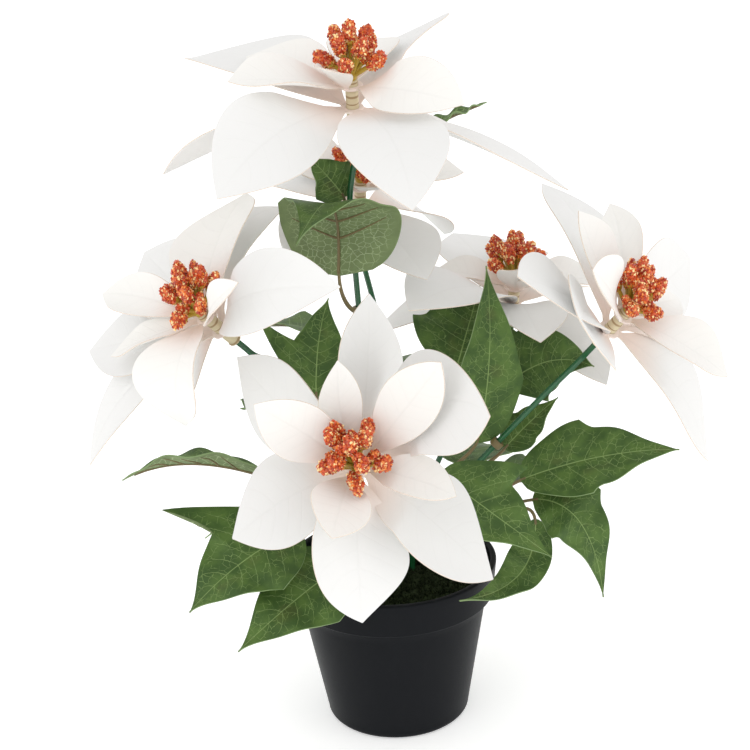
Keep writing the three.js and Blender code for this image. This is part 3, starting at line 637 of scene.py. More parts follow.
# Marks on the cloth of bracts and leaves. A span runs from where a mark is full to where it is gone: along
# or across the blade as a share of it, or in millimetres from a vein's line where the name ends in MM.
# Scales are waves to a millimetre, pattern shifts are millimetres from one blade to the next, and a share
# is how much of its colour a mark lends. BLOTCHES and BROWN_PATCHES are the levels of cloudy noise between
# which those marks come up, and NET_CORE is how much of a net line is at full strength.
BRACT_VEIN_MM = (0.1, 0.7)
BRACT_MIDRIB_MM = (0.2, 1.1)
BRACT_VEIN_EDGE = (0.7, 1.0)
BRACT_VEIN_TIP = (0.75, 1.0)
BRACT_SIDE_VEIN_DEPTH = 0.6
BRACT_VEIN_SHARE = 0.10
BRACT_VEIN_WANDER = 0.03
BRACT_CLOUD_SCALE = 0.035
BRACT_CLOUD_SHARE = 0.25
BRACT_PATTERN_SHIFT = 40
BLUSH_SPAN = (0.05, 0.42)
BLUSH_SHARE = 0.85
WEAVE_SCALE = 2.6

LEAF_VEIN_MM = (0.08, 0.34)
LEAF_VEIN_TAPER_MM = 0.12
LEAF_MIDRIB_MM = (0.2, 0.6)
LEAF_MIDRIB_TAPER_MM = 0.25
LEAF_VEIN_EDGE = (0.72, 0.92)
LEAF_VEIN_WANDER = 0.02
LEAF_CLOUD_SCALE = 0.09
LEAF_FINE_SCALE = 0.45
LEAF_PATTERN_SHIFT = (31, 17)
NET_SHIFT_MM = (5, 2.4)
NET_EDGE = (0.74, 0.94)
NET_TIP = (0.82, 0.97)
NET_CORE = 0.2
WEAR_SCALE = 0.16
WEAR_BLUR = 0.09
BLOTCHES = (0.34, 0.68)
BROWN_SCALE = 0.06
BROWN_PATCHES = (0.56, 0.72)
BROWN_EDGE = (0.15, 0.7)
BROWN_SHARE = 0.3
SHADE_SHARE = 0.25
MIDRIB_SHARE, SIDE_VEIN_SHARE, NET_SHARE = 0.75, 0.6, 0.62
LEAF_RELIEF = 0.0003

# Cut threads and moulded plastic, with scales in waves to a metre
THREAD_SCALE = 2600
THREADS = (0.35, 0.7)
THREAD_SHADE = 0.82
THREAD_RELIEF = 0.0001
PLASTIC_CLOUD_SCALE = 14


def blade_marks(paint):
    """What a blade's material reads from its fields.

    That is the shares along and across it, its length, the same place in millimetres along and across,
    and the number of its pattern.
    """
    along, across, length = paint.parts(paint.field("blade", 1))
    flat_along, flat_across, number = paint.parts(paint.field("flat", 1))
    return along, abs(across), length, flat_along, flat_across, number


def side_veins(along, spread, length, wander):
    """Distance in millimetres to the nearest side vein.

    The veins are where along + wander - VEIN_FORWARD * spread to the power VEIN_CURVE is VEIN_FIRST plus
    whole steps.
    """
    run = along - VEIN_FORWARD * spread ** VEIN_CURVE + wander
    nearest = abs(((run - VEIN_FIRST) / VEIN_STEP + 0.5).fraction() - 0.5)
    return nearest * VEIN_STEP * length


def bract_paint(name, colour, blush, shade, relief):
    """Stiff white cloth: a blush by the claw, faint pressed veins greyed with painted shade, grey clouds at
    random and a fine weave in the surface.
    """
    paint = Paint(name)
    along, spread, length, flat_along, flat_across, number = blade_marks(paint)
    flat = paint.vector(flat_along, flat_across, number * BRACT_PATTERN_SHIFT)
    cloud = paint.noise(flat, BRACT_CLOUD_SCALE, detail=3)
    weave = paint.noise(flat, WEAVE_SCALE, detail=1)
    wander = (cloud - 0.5) * BRACT_VEIN_WANDER
    side = paint.fade(side_veins(along, spread, length, wander), *BRACT_VEIN_MM)
    side = side * BRACT_SIDE_VEIN_DEPTH * paint.fade(spread, *BRACT_VEIN_EDGE)
    midrib = paint.fade(abs(flat_across), *BRACT_MIDRIB_MM)
    veins = midrib.highest(side) * paint.fade(along, *BRACT_VEIN_TIP)
    base = paint.mix(paint.fade(along, *BLUSH_SPAN) * BLUSH_SHARE, colour, blush)
    # painted shade: the pressed veins are greyed in colour as well as pressed into the surface; the clouds
    # grey the cloth at random
    shaded = veins * BRACT_VEIN_SHARE + (cloud - 0.5).highest(0) * BRACT_CLOUD_SHARE
    height = weave * 0.25 - veins * 0.5
    return paint.finish(
        Base_Color=paint.mix(shaded, base, shade), Roughness=0.62 + cloud * 0.2,
        Normal=paint.bump(height, relief, strength=0.7), Specular_IOR_Level=0.3, Sheen_Weight=0.15,
        Sheen_Roughness=0.5,
    )


def edge_paint(name, colour, roughness):
    """The cut edge of a blade: bare threads that show darker in places."""
    paint = Paint(name)
    threads = paint.noise(paint.place(), THREAD_SCALE, detail=2)
    dark = [value * THREAD_SHADE for value in colour]
    base = paint.mix(paint.step(threads, *THREADS), colour, dark)
    return paint.finish(Base_Color=base, Roughness=roughness, Normal=paint.bump(threads, THREAD_RELIEF))


def leaf_paint(name, deep, light, vein, stain, net, thread, wear, roughness):
    """Printed leaf cloth: blotched green under a midrib, side veins and a net of fine veins.

    net is the width of the net's cells in millimetres and thread the width of its lines as a share of a
    cell. The net is gone where cloudy noise is below wear.
    """
    paint = Paint(name)
    along, spread, length, flat_along, flat_across, number = blade_marks(paint)
    flat_along = flat_along + number * LEAF_PATTERN_SHIFT[0]
    shifted_across = flat_across + number * LEAF_PATTERN_SHIFT[1]
    flat = paint.vector(flat_along, shifted_across, 0)
    cloud = paint.noise(flat, LEAF_CLOUD_SCALE, detail=3)
    fine = paint.noise(flat, LEAF_FINE_SCALE, detail=2)

    distance = side_veins(along, spread, length, (fine - 0.5) * LEAF_VEIN_WANDER)
    side = paint.fade(distance + spread * LEAF_VEIN_TAPER_MM, *LEAF_VEIN_MM)
    side = side * paint.fade(spread, *LEAF_VEIN_EDGE)
    midrib = paint.fade(abs(flat_across) + along * LEAF_MIDRIB_TAPER_MM, *LEAF_MIDRIB_MM)

    bent_along = flat_along + (cloud - 0.5) * NET_SHIFT_MM[0]
    bent_across = shifted_across + (fine - 0.5) * NET_SHIFT_MM[1]
    cells = paint.add(
        "ShaderNodeTexVoronoi", {"feature": "DISTANCE_TO_EDGE", "voronoi_dimensions": "2D"},
        {"Vector": paint.vector(bent_along, bent_across, 0), "Scale": 1 / net},
    )
    worn = paint.step(paint.noise(flat, WEAR_SCALE, detail=2), wear - WEAR_BLUR, wear + WEAR_BLUR)
    lines = paint.fade(cells, thread * NET_CORE, thread) * worn
    lines = lines * paint.fade(spread, *NET_EDGE) * paint.fade(along, *NET_TIP)

    base = paint.mix(paint.step(cloud, *BLOTCHES), deep, light)
    browned = paint.step(paint.noise(flat, BROWN_SCALE, detail=1), *BROWN_PATCHES)
    base = paint.mix(browned * paint.fade(spread, *BROWN_EDGE) * BROWN_SHARE, base, stain)
    base = paint.mix(fine * SHADE_SHARE, base, deep)
    veins = (midrib * MIDRIB_SHARE).highest(side * SIDE_VEIN_SHARE).highest(lines * NET_SHARE)
    height = fine * 0.3 - midrib.highest(side * 0.7).highest(lines * 0.35)
    return paint.finish(
        Base_Color=paint.mix(veins, base, vein), Roughness=roughness + cloud * 0.15,
        Normal=paint.bump(height, LEAF_RELIEF, strength=0.8), Specular_IOR_Level=0.35,
    )


def plastic_paint(name, colour, roughness, grain_size, grain, variation=0.12, specular=0.5):
    """Moulded plastic: an almost even colour with a fine grain in its surface."""
    paint = Paint(name)
    where = paint.place()
    cloud = paint.noise(where, PLASTIC_CLOUD_SCALE, detail=3)
    speck = paint.noise(where, 1 / grain_size, detail=2)
    low, high = ([value * share for value in colour] for share in (1 - variation, 1 + variation))
    return paint.finish(
        Base_Color=paint.mix(cloud, low, high),
        Roughness=roughness + (cloud - 0.5) * 0.18 + (speck - 0.5) * 0.1,
        Normal=paint.bump(speck, grain), Specular_IOR_Level=specular,
    )


# ---- settings ----


def size(name, text, default):
    """A length that a user may change."""
    return bpy.props.FloatProperty(
        name=name, description=text, default=default, min=0, unit="LENGTH", precision=5,
    )


def colour(name, text, default):
    """A colour that a user may change."""
    return bpy.props.FloatVectorProperty(
        name=name, description=text, default=default, size=3, min=0, max=1, subtype="COLOR",
    )


class PotSettings(bpy.types.PropertyGroup):
    """The nursery pot and its filling."""

    wall: colour("Pot colour", "Colour of the moulded pot", (0.0080, 0.0090, 0.0108))
    gloss: bpy.props.FloatProperty(
        name="Roughness", description="How dull the pot is", default=0.42, min=0, max=1, subtype="FACTOR",
    )
    sides: bpy.props.IntProperty(name="Sides", description="Faces round the pot", default=144, min=24)
    moss: colour("Moss colour", "Colour of the moss in the light", (0.036, 0.050, 0.022))
    # the colour of painted shade in the moss's hollows and at the feet of its tufts
    hollow_shade: colour("Moss shade", "Colour of the moss in its hollows", (0.006, 0.010, 0.004))
    tufts: bpy.props.IntProperty(name="Tufts", description="Number of moss tufts", default=5200, min=0)
    tuft: size("Tuft length", "Length of the longest moss tufts", 0.0042)


class StemSettings(bpy.types.PropertyGroup):
    """The wire stems and the necks that carry the whorls."""

    stem: colour("Stem colour", "Colour of the plastic over the wire", (0.012, 0.100, 0.032))
    flutes: bpy.props.IntProperty(name="Flutes", description="Grooves round a stem", default=5, min=0)
    neck: colour("Neck colour", "Colour of the neck tubes", (0.72, 0.63, 0.42))
    band: colour("Neck band colour", "Colour of the bands round the necks", (0.30, 0.17, 0.06))


class BractSettings(bpy.types.PropertyGroup):
    """The white bracts of the blooms."""

    cloth: size("Cloth thickness", "Thickness of the stiffened cloth", 0.0006)
    outer: colour("Outer colour", "Colour of the outer bracts", (0.84, 0.835, 0.82))
    inner: colour("Inner colour", "Colour of the inner bracts", (0.895, 0.88, 0.845))
    blush: colour("Blush", "Colour of a bract by its claw", (0.90, 0.74, 0.66))
    # the grey of painted shade along the pressed veins, and of the cloth's random clouds
    shade: colour("Vein colour", "Colour of the faint pressed veins", (0.70, 0.69, 0.66))
    edge: colour("Edge colour", "Colour of the cut edges", (0.84, 0.74, 0.64))
    relief: size("Vein relief", "Depth of the pressed veins", 0.00018)
    ripple: size("Ripple", "How far the edges of a bract wave", 0.0009)


class HeadSettings(bpy.types.PropertyGroup):
    """The glitter flower heads and their stalks."""

    grain: size("Grain", "Size of a coarse glitter grain", 0.0017)
    coarse: bpy.props.IntProperty(name="Coarse grains", description="Coarse grains on a head", default=85)
    fine: bpy.props.IntProperty(name="Fine grains", description="Fine grains on a head", default=96)
    red: colour("Red", "Colour of the deep red grains", (0.42, 0.035, 0.008))
    orange: colour("Orange", "Colour of the orange grains", (0.66, 0.090, 0.014))
    amber: colour("Amber", "Colour of the amber grains", (0.88, 0.27, 0.050))
    gold: colour("Gold", "Colour of the gold flecks", (1.0, 0.72, 0.34))
    stalk: colour("Stalk colour", "Colour of the stalks", (0.52, 0.36, 0.045))


class LeafSettings(bpy.types.PropertyGroup):
    """The printed leaves."""

    cloth: size("Cloth thickness", "Thickness of the leaf cloth", 0.0007)
    deep: colour("Deep green", "Darker green of the upper side", (0.043, 0.094, 0.016))
    light: colour("Light green", "Lighter green of the upper side", (0.096, 0.174, 0.033))
    vein: colour("Vein colour", "Colour of the printed veins", (0.31, 0.44, 0.15))
    stain: colour("Stain", "Colour of the brown patches near the midrib", (0.085, 0.065, 0.022))
    under: colour("Underside", "Colour of the underside", (0.19, 0.255, 0.108))
    under_vein: colour("Underside vein", "Colour of the net on the underside", (0.46, 0.56, 0.33))
    edge: colour("Edge colour", "Colour of the cut edges", (0.22, 0.32, 0.13))
    rib: colour("Rib colour", "Colour of the moulded ribs and petioles", (0.165, 0.125, 0.050))
    net: size("Net", "Width of the cells of the vein net", 0.0038)


class StageSettings(bpy.types.PropertyGroup):
    """The floor, the lights and the camera."""

    floor: colour("Floor colour", "Colour of the plain floor", (0.93, 0.93, 0.93))
    sky: bpy.props.FloatProperty(
        name="Sky", description="Strength of the light from all round", default=0.945,
    )
    key: bpy.props.FloatProperty(
        name="Key light", description="Power of the large light", default=4, unit="POWER",
    )
    fill: bpy.props.FloatProperty(
        name="Fill light", description="Power of the second light", default=2, unit="POWER",
    )
    angle: bpy.props.FloatProperty(
        name="Field of view", description="Angle that the camera takes in", default=math.radians(26),
        subtype="ANGLE",
    )
    distance: bpy.props.FloatProperty(
        name="Distance", description="From the camera to the bush", default=0.898, unit="LENGTH",
    )
    height: bpy.props.FloatProperty(
        name="Elevation", description="How far above level the camera stands", default=math.radians(19.7),
        subtype="ANGLE",
    )
    roll: bpy.props.FloatProperty(
        name="Roll", description="How far the camera is tipped", default=math.radians(-2.9), subtype="ANGLE",
    )
    target: bpy.props.FloatVectorProperty(
        name="Target", description="Where the camera looks", default=(-0.0044, 0.0, 0.2074), size=3,
        subtype="TRANSLATION", unit="LENGTH",
    )


# ---- pot and moss ----

# The rings of the pot's flat foot, its roundings and how far down the lip runs, in millimetres
FOOT_RINGS = (12, 24, 33)
BAND_ROUNDING = 0.9
LIP_ROUNDING = 1.1
LIP_DEPTH = 2.4

# The moss, in millimetres: how far it runs past the pot's wall, how deep it hangs and by how much it
# narrows, and the height and breadth of its bumps
MOSS_OVERLAP = 0.9
MOSS_DEPTH = 14
MOSS_NARROWING = 2.6
MOSS_BUMP_HEIGHT = 2.6
MOSS_BUMP_BREADTH = 9
MOSS_CLOUD_SCALE = 160

# A tuft: how far its foot is sunk and its half width in millimetres; the spread of its lean, its least
# length as a share, the tone at its foot, which is painted shade, and the range of tones at its tip
TUFT_SINK = 0.4
TUFT_HALF_WIDTH = (0.35, 0.75)
TUFT_LEAN = 0.55
TUFT_SHORTEST = 0.35
TUFT_FOOT_TONE = 0.1
TUFT_TONES = (0.4, 1.0)


def pot_profile():
    """The pot's section: a rounded foot, a sloping wall, a proud band and a rounded lip, then the inside."""
    band_foot, lip_foot = POT_HEIGHT - BAND_HEIGHT, POT_HEIGHT - LIP_ROUNDING
    wall_end, wall_corner, band_start = band_foot - 0.6, band_foot - 0.1, band_foot + 1.2
    inside, floor_radius = BODY_TOP_RADIUS - POT_WALL, BODY_FOOT_RADIUS - POT_WALL
    mouth, half_lip = RIM_RADIUS - LIP_WIDTH, LIP_ROUNDING * 0.5
    ledge = [inside + 1.2, band_foot + 2]
    return np.vstack([
        [[radius, 0] for radius in (0, *FOOT_RINGS)],
        arc((BODY_FOOT_RADIUS - FOOT_ROUNDING, FOOT_ROUNDING), FOOT_ROUNDING, -90, 0, steps=9),
        np.linspace([BODY_FOOT_RADIUS, FOOT_ROUNDING], [BODY_TOP_RADIUS, wall_end], 12)[1:],
        [[BODY_TOP_RADIUS + 0.4, wall_corner]],
        arc((BAND_FOOT_RADIUS - BAND_ROUNDING, band_foot + BAND_ROUNDING), BAND_ROUNDING, -90, 0, steps=6),
        np.linspace([BAND_FOOT_RADIUS, band_start], [RIM_RADIUS, lip_foot], 6)[1:-1],
        arc((RIM_RADIUS - LIP_ROUNDING, lip_foot), LIP_ROUNDING, 0, 90, steps=7),
        arc((mouth + half_lip, lip_foot), LIP_ROUNDING, 90, 180, steps=6),
        [[mouth - half_lip, POT_HEIGHT - LIP_DEPTH]],
        np.linspace(ledge, [inside, band_foot - 1], 3),
        np.linspace([inside, band_foot - 3], [floor_radius, FOOT_ROUNDING + POT_WALL], 6),
        [[floor_radius - FOOT_ROUNDING, POT_WALL], [0, POT_WALL]],
    ])


class POINSETTIA_OT_pot(bpy.types.Operator):
    """Turns the nursery pot"""

    bl_idname = "poinsettia.pot"
    bl_label = "Pot"

    def execute(self, context):
        settings = context.scene.poinsettia_pot
        paint = plastic_paint(
            "pot_plastic", tuple(settings.wall), settings.gloss, grain_size=0.0011, grain=0.00005,
            variation=0.06, specular=0.07,
        )
        pot = turned(pot_profile(), settings.sides)
        piece("nursery_pot", [pot], [paint], "pot", smooth_below=30)
        return {"FINISHED"}


def moss_paint(settings):
    """Moss: painted shade darkens it in its hollows and at the feet of its tufts, and it is greener on its
    tips; dull all over.
    """
    paint = Paint("moss")
    cloud = paint.noise(paint.place(), MOSS_CLOUD_SCALE, detail=4)
    # painted shade: the tone darkens the hollows and the tufts' feet, and the noise varies it at random
    share = paint.step(paint.field("tone") * 0.75 + cloud * 0.5, 0.25, 0.95)
    return paint.finish(
        Base_Color=paint.mix(share, tuple(settings.hollow_shade), tuple(settings.moss)), Roughness=0.95,
        Normal=paint.bump(cloud, 0.0006), Specular_IOR_Level=0.1,
    )


def tufts(count, radius, longest, ground, seed):
    """Moss tufts: closed three-sided spikes that lean at random from points spread over a disc.

    A tuft's foot is a triangle sunk a little in the ground, and its tip is its length away along its lean.
    """
    draw = np.random.default_rng(seed)
    reach = radius * np.sqrt(draw.uniform(0, 1, count))
    turn = draw.uniform(0, 2 * math.pi, count)
    foot = np.stack([reach * np.cos(turn), reach * np.sin(turn), np.zeros(count)], axis=-1)
    foot[:, 2] = ground(foot) - TUFT_SINK
    lean = unit(np.stack([*draw.normal(0, TUFT_LEAN, (2, count)), np.ones(count)], axis=-1))
    length = longest * draw.uniform(TUFT_SHORTEST, 1.0, count)
    spin = draw.uniform(0, 2 * math.pi, count)[:, None] + np.arange(3) * 2 * math.pi / 3
    width = draw.uniform(*TUFT_HALF_WIDTH, count)[:, None]
    base = foot[:, None] + np.stack([width * np.cos(spin), width * np.sin(spin), 0 * spin], axis=-1)
    tip = (foot + lean * length[:, None])[:, None]
    points = np.concatenate([base, tip], axis=1).reshape(-1, 3)
    corners = np.array([[0, 1, 3], [1, 2, 3], [2, 0, 3], [0, 2, 1]])
    faces = (np.arange(count)[:, None, None] * 4 + corners).reshape(-1, 3)
    # painted shade: each tuft is dark at its foot and light at its tip
    shade = [TUFT_FOOT_TONE] * 3 + [1.0]
    tone = np.tile(shade, count) * np.repeat(draw.uniform(*TUFT_TONES, count), 4)
    return Shape(points, [(0, faces)], tone=tone)


class POINSETTIA_OT_moss(bpy.types.Operator):
    """Grows the moss that covers the plug in the pot"""

    bl_idname = "poinsettia.moss"
    bl_label = "Moss"

    def execute(self, context):
        settings = context.scene.poinsettia_pot
        waves = ripples(seed=4, count=24, breadth=MOSS_BUMP_BREADTH)
        edge, hem = BODY_TOP_RADIUS + MOSS_OVERLAP, PLUG_EDGE_HEIGHT - MOSS_DEPTH

        def ground(points):
            share = np.hypot(points[:, 0], points[:, 1]) / edge
            crown = PLUG_EDGE_HEIGHT + PLUG_CROWN * (1 - share ** 2)
            return crown + waves(points) * MOSS_BUMP_HEIGHT * (1 - share ** 6)

        dome = [[radius, PLUG_EDGE_HEIGHT] for radius in (*np.linspace(edge, 0.8, 40), 0)]
        plug = turned([[0, hem], [edge - MOSS_NARROWING, hem], *dome], sides=120)
        top = plug.points[:, 2] >= PLUG_EDGE_HEIGHT
        plug.points[top, 2] = ground(plug.points[top])
        # painted shade: the tone follows the bumps, darker in the hollows and darkest on the plug's sides
        # under its top
        plug.fields["tone"] = np.where(top, 0.5 + waves(plug.points), 0)
        cover = tufts(settings.tufts, edge - 1, settings.tuft / MM, ground, seed=11)
        piece("moss_cover", [plug, cover], [moss_paint(settings)], "moss_plug", smooth_below=60)
        return {"FINISHED"}


# ---- blooms ----

# A bract's outline is half its width times sin(pi u^BRACT_SKEW)^(BRACT_FULLNESS + BRACT_TAPER u)
BRACT_SKEW = 1.2
BRACT_FULLNESS = 0.85
BRACT_TAPER = 0.1

# Its surface: the least droop in degrees and the least bow in radians, the waves of its left and right
# edges in radians along it, the depth in millimetres of the crease on its midrib and the crease's width as
# a share of the half width, and the number of different cloth patterns
LEAST_DROOP = 0.1
LEAST_BOW = 0.01
EDGE_WAVES = (9, 8)
CREASE_DEPTH = 0.35
CREASE_WIDTH = 0.06
BRACT_PATTERNS = 17

# How the veins show on the back of a bract, against the front
BACK_RELIEF = -0.7

# The first seed of a bloom's bracts, and the step to the next bloom's
OUTER_SEED = 100
INNER_SEED = 400
BLOOM_SEEDS = 20

# The neck, in millimetres: its play round the stem, the bead round its foot, and the height and breadth of
# its darker bands
STEM_PLAY = 0.2
BEAD = 0.45
NECK_BANDS = ((-10.6, 0.7), (3.4, 0.5), (7.6, 0.9), (15.6, 0.6))
BAND_SHARE = 0.75
NECK_CLOUD_SCALE = 420
NECK_CLOUD_SHARE = 0.35
NECK_SHADE = 0.72


def bloom_place(bloom):
    """Puts points from a bloom's own axes into the frame: z is the way it faces and y is up its face.

    facing = (sin a cos e, -cos a cos e, sin e); up is +Z made square to it; right is up x facing.
    """
    turn, tilt = math.radians(bloom["azimuth"]), math.radians(bloom["elevation"])
    facing = np.array([math.sin(turn) * math.cos(tilt), -math.cos(turn) * math.cos(tilt), math.sin(tilt)])
    up = unit(np.array([0, 0, 1]) - facing[2] * facing)
    axes = np.stack([np.cross(up, facing), up, facing])
    return lambda points: np.asarray(points, float) @ axes + np.array(bloom["hub"], float)


def bract_half_width(along, width):
    """Half a bract's width at shares of its length, at least its claw's or its tip's."""
    swell = np.sin(math.pi * along ** BRACT_SKEW)
    swell = np.clip(swell, 0, None) ** (BRACT_FULLNESS + BRACT_TAPER * along)
    return np.maximum(width / 2 * swell, np.where(along < 0.5, CLAW_HALF_WIDTH, TIP_HALF_WIDTH))


def bract_sheet(row, whole, height, cup, settings, seed):
    """One bract in its bloom's own axes.

    Its slope falls evenly from rise by droop, and its reach and lift are that slope summed along its
    length. Across, it follows an arc of a circle that opens with sin(pi u), turned about the midrib by
    its roll; its tip sways by the square of the place along. The edges wave by the ripple.
    """
    clock, rise, droop, roll, sway = np.radians(row[:5])
    length, width = whole[0] * row[5], whole[1] * row[5] * row[6]
    droop = droop if droop else math.radians(LEAST_DROOP)
    along = np.linspace(0, 1, BRACT_ROWS)[:, None]
    across = np.linspace(-1, 1, BRACT_COLUMNS)[None, :]
    arch = np.sin(math.pi * along)
    out = np.array([math.sin(clock), math.cos(clock), 0])
    axis = np.array([0.0, 0.0, 1.0])
    side = np.cross(axis, out)
    slope = (rise - droop * along)[..., None]
    start = NECK_RADIUS + FIT_GAP + BLADE_START
    reach = start + length * (math.sin(rise) - np.sin(slope)) / droop
    lift = height + length * (np.cos(slope) - math.cos(rise)) / droop
    normal = axis * np.cos(slope) - out * np.sin(slope)
    turn = (roll * np.minimum(1, along / ROLL_END))[..., None]
    over = side * np.cos(turn) + normal * np.sin(turn)
    face = normal * np.cos(turn) - side * np.sin(turn)
    bow = np.maximum(math.radians(cup) * arch, LEAST_BOW)
    half = bract_half_width(along, width)
    sideways = half * np.sin(bow * across) / bow - length * math.sin(sway) * along ** 2
    phase = np.random.default_rng(seed).uniform(0, 2 * math.pi, 2)
    left, right = (np.sin(pace * along + shift) for pace, shift in zip(EDGE_WAVES, phase))
    wave = np.where(across < 0, left, right) * np.abs(across) ** 3
    crease = CREASE_DEPTH * np.exp(-((across / CREASE_WIDTH) ** 2))
    outward = half * (1 - np.cos(bow * across)) / bow
    outward = outward + settings.ripple / MM * wave * arch - crease * arch
    middle = axis * lift + out * reach + over * sideways[..., None] + face * outward[..., None]
    along, across = np.broadcast_arrays(along, across)
    same_length, pattern = np.full_like(along, length), np.full_like(along, seed % BRACT_PATTERNS)
    blade = np.stack([along, across, same_length], axis=-1).reshape(-1, 3)
    flat = np.stack([along * length, across * half, pattern], axis=-1).reshape(-1, 3)
    return sheet(middle, settings.cloth / MM, blade=blade, flat=flat)


def whorl(name, bloom, layer, height, cup, settings, paints, seed):
    """All the bracts of one whorl and the ring that joins their claws round the neck."""
    low, high = height - HUB_THICKNESS / 2, height + HUB_THICKNESS / 2
    ring = bevelled_ring(NECK_RADIUS + FIT_GAP / 2, HUB_RADIUS, low, high, inset=0.4, sides=40)
    blades = [
        bract_sheet(row, bloom[f"{layer}_size"], height, cup, settings, seed + number)
        for number, row in enumerate(bloom[layer])
    ]
    shapes = [shape.moved(bloom_place(bloom)) for shape in [ring.finished(0), *blades]]
    piece(f"{name}_{layer}_whorl", shapes, paints, f"{name}_{layer}_bracts", smooth_below=50)


def dress(layer, front, height, cup, settings, first_seed):
    """The outer or the inner whorl of every bloom, in cloth of its own colour."""
    cloth = [tuple(value) for value in (front, settings.blush, settings.shade)]
    paints = [
        bract_paint(f"bract_cloth_{layer}", *cloth, settings.relief),
        bract_paint(f"bract_cloth_{layer}_back", *cloth, settings.relief * BACK_RELIEF),
        edge_paint(f"bract_edge_{layer}", tuple(settings.edge), roughness=0.8),
    ]
    for number, (name, bloom) in enumerate(BLOOMS.items()):
        whorl(name, bloom, layer, height, cup, settings, paints, first_seed + BLOOM_SEEDS * number)


class POINSETTIA_OT_outer_bracts(bpy.types.Operator):
    """Cuts and bends the six large bracts of every bloom"""

    bl_idname = "poinsettia.outer_bracts"
    bl_label = "Outer bracts"

    def execute(self, context):
        settings = context.scene.poinsettia_bracts
        dress("outer", settings.outer, 0, OUTER_CUP, settings, OUTER_SEED)
        return {"FINISHED"}


class POINSETTIA_OT_inner_bracts(bpy.types.Operator):
    """Cuts and cups the five small bracts round the flower heads of every bloom"""

    bl_idname = "poinsettia.inner_bracts"
    bl_label = "Inner bracts"

    def execute(self, context):
        settings = context.scene.poinsettia_bracts
        dress("inner", settings.inner, INNER_WHORL_HEIGHT, INNER_CUP, settings, INNER_SEED)
        return {"FINISHED"}


def neck_profile():
    """The neck's section: a tube with two tapered flanges, a bead round its foot and a rounded top."""
    clear, bore, bead = HUB_THICKNESS / 2 + FIT_GAP, STEM_RADIUS + STEM_PLAY, NECK_RADIUS + BEAD

    def flange(top):
        return [
            [NECK_RADIUS, top - FLANGE_TAPER], [NECK_FLANGE_RADIUS - 0.25, top - 0.3],
            [NECK_FLANGE_RADIUS, top - 0.12], [NECK_FLANGE_RADIUS - 0.1, top], [NECK_RADIUS, top],
        ]

    return [
        [0, STEM_STOP], [bore, STEM_STOP], [bore, -NECK_BELOW + 0.3], [bore + 0.3, -NECK_BELOW],
        [NECK_RADIUS + 0.1, -NECK_BELOW], [bead, -NECK_BELOW + 0.5], [bead, -NECK_BELOW + 1.3],
        [NECK_RADIUS, -NECK_BELOW + 1.9], *flange(-clear), *flange(INNER_WHORL_HEIGHT - clear),
        [NECK_RADIUS, NECK_ABOVE - 1.2], [NECK_RADIUS - 0.3, NECK_ABOVE - 0.3],
        [NECK_RADIUS - 1, NECK_ABOVE], [0, NECK_ABOVE],
    ]


def neck_paint(settings):
    """Cream plastic with thin darker bands at set heights round the tube."""
    paint = Paint("neck_plastic")
    level = paint.field("level")
    cloud = paint.noise(paint.place(), NECK_CLOUD_SCALE, detail=3)
    bands = 0
    for height, breadth in NECK_BANDS:
        bands = paint.fade(abs(level - height) + (cloud - 0.5) * 0.5, breadth * 0.4, breadth) + bands
    cream = tuple(settings.neck)
    base = paint.mix(cloud * NECK_CLOUD_SHARE, cream, [value * NECK_SHADE for value in cream])
    return paint.finish(
        Base_Color=paint.mix(bands * BAND_SHARE, base, tuple(settings.band)), Roughness=0.45 + cloud * 0.2,
        Normal=paint.bump(cloud, 0.00015), Specular_IOR_Level=0.4,
    )


class POINSETTIA_OT_necks(bpy.types.Operator):
    """Turns the neck tube that carries both whorls of each bloom"""

    bl_idname = "poinsettia.necks"
    bl_label = "Necks"

    def execute(self, context):
        paint = neck_paint(context.scene.poinsettia_stems)
        neck = turned(neck_profile(), sides=32)
        neck.fields["level"] = neck.points[:, 2]
        for name, bloom in BLOOMS.items():
            shapes = [neck.moved(bloom_place(bloom))]
            piece(f"{name}_neck_tube", shapes, [paint], f"{name}_neck")
        return {"FINISHED"}


# ---- flower heads ----

# Grains of glitter: the turn from one to the next in radians and its drift; where the first one sits and
# what they span, as shares of the knob, with the drift in steps; and the drift from its surface in
# millimetres
GOLDEN_ANGLE = 2.399963
GRAIN_TURN_DRIFT = 0.25
GRAIN_FIRST = 0.03
GRAIN_SPAN = 0.95
GRAIN_STEP_DRIFT = (0.2, 0.8)
GRAIN_OUT_DRIFT = (-0.25, 0.35)

# The sizes of coarse and fine grains as shares of the one that is set, how far the fine ones stand out and
# the core stands in, in millimetres, and the core's fleck
COARSE_SIZES = (0.7, 1.35)
FINE_SIZES = (0.3, 0.7)
FINE_LIFT = 0.35
CORE_INSET = 0.25
CORE_FLECK = 0.3

# The five small knobs on a head: their radius and length, and the height of the first one, the step to the
# next and the drift, all as shares of the main knob's; their tilt in degrees and the drift of their turn
SIDE_KNOBS = 5
SIDE_RADIUS = 0.78
SIDE_LENGTH = 0.44
SIDE_FIRST = 0.06
SIDE_STEP = 0.11
SIDE_DRIFT = 0.06
SIDE_TILT = (22, 38)
SIDE_TURN_DRIFT = 0.3

# The cup under a head: the widths of its stalk end in millimetres, the widths above as shares of the main
# knob's radius, and the height of each
CUP_FOOT = (0.9, 1.3)
CUP_WIDTHS = (0.72, 0.98, 1.02, 0.8)
CUP_HEIGHTS = (-0.6, -0.2, 0.5, 1.9, 2.7, 2.9)

# A stalk: its radius at the foot, how far it bows and how far the head sinks onto it, in millimetres, and
# the drifts of its tilt in degrees and of its turn in radians
STALK_FOOT_RADIUS = 1.25
STALK_BOW = 0.5
STALK_SINK = 0.4
STALK_TILT_DRIFT = 3
STALK_TURN_DRIFT = 0.12

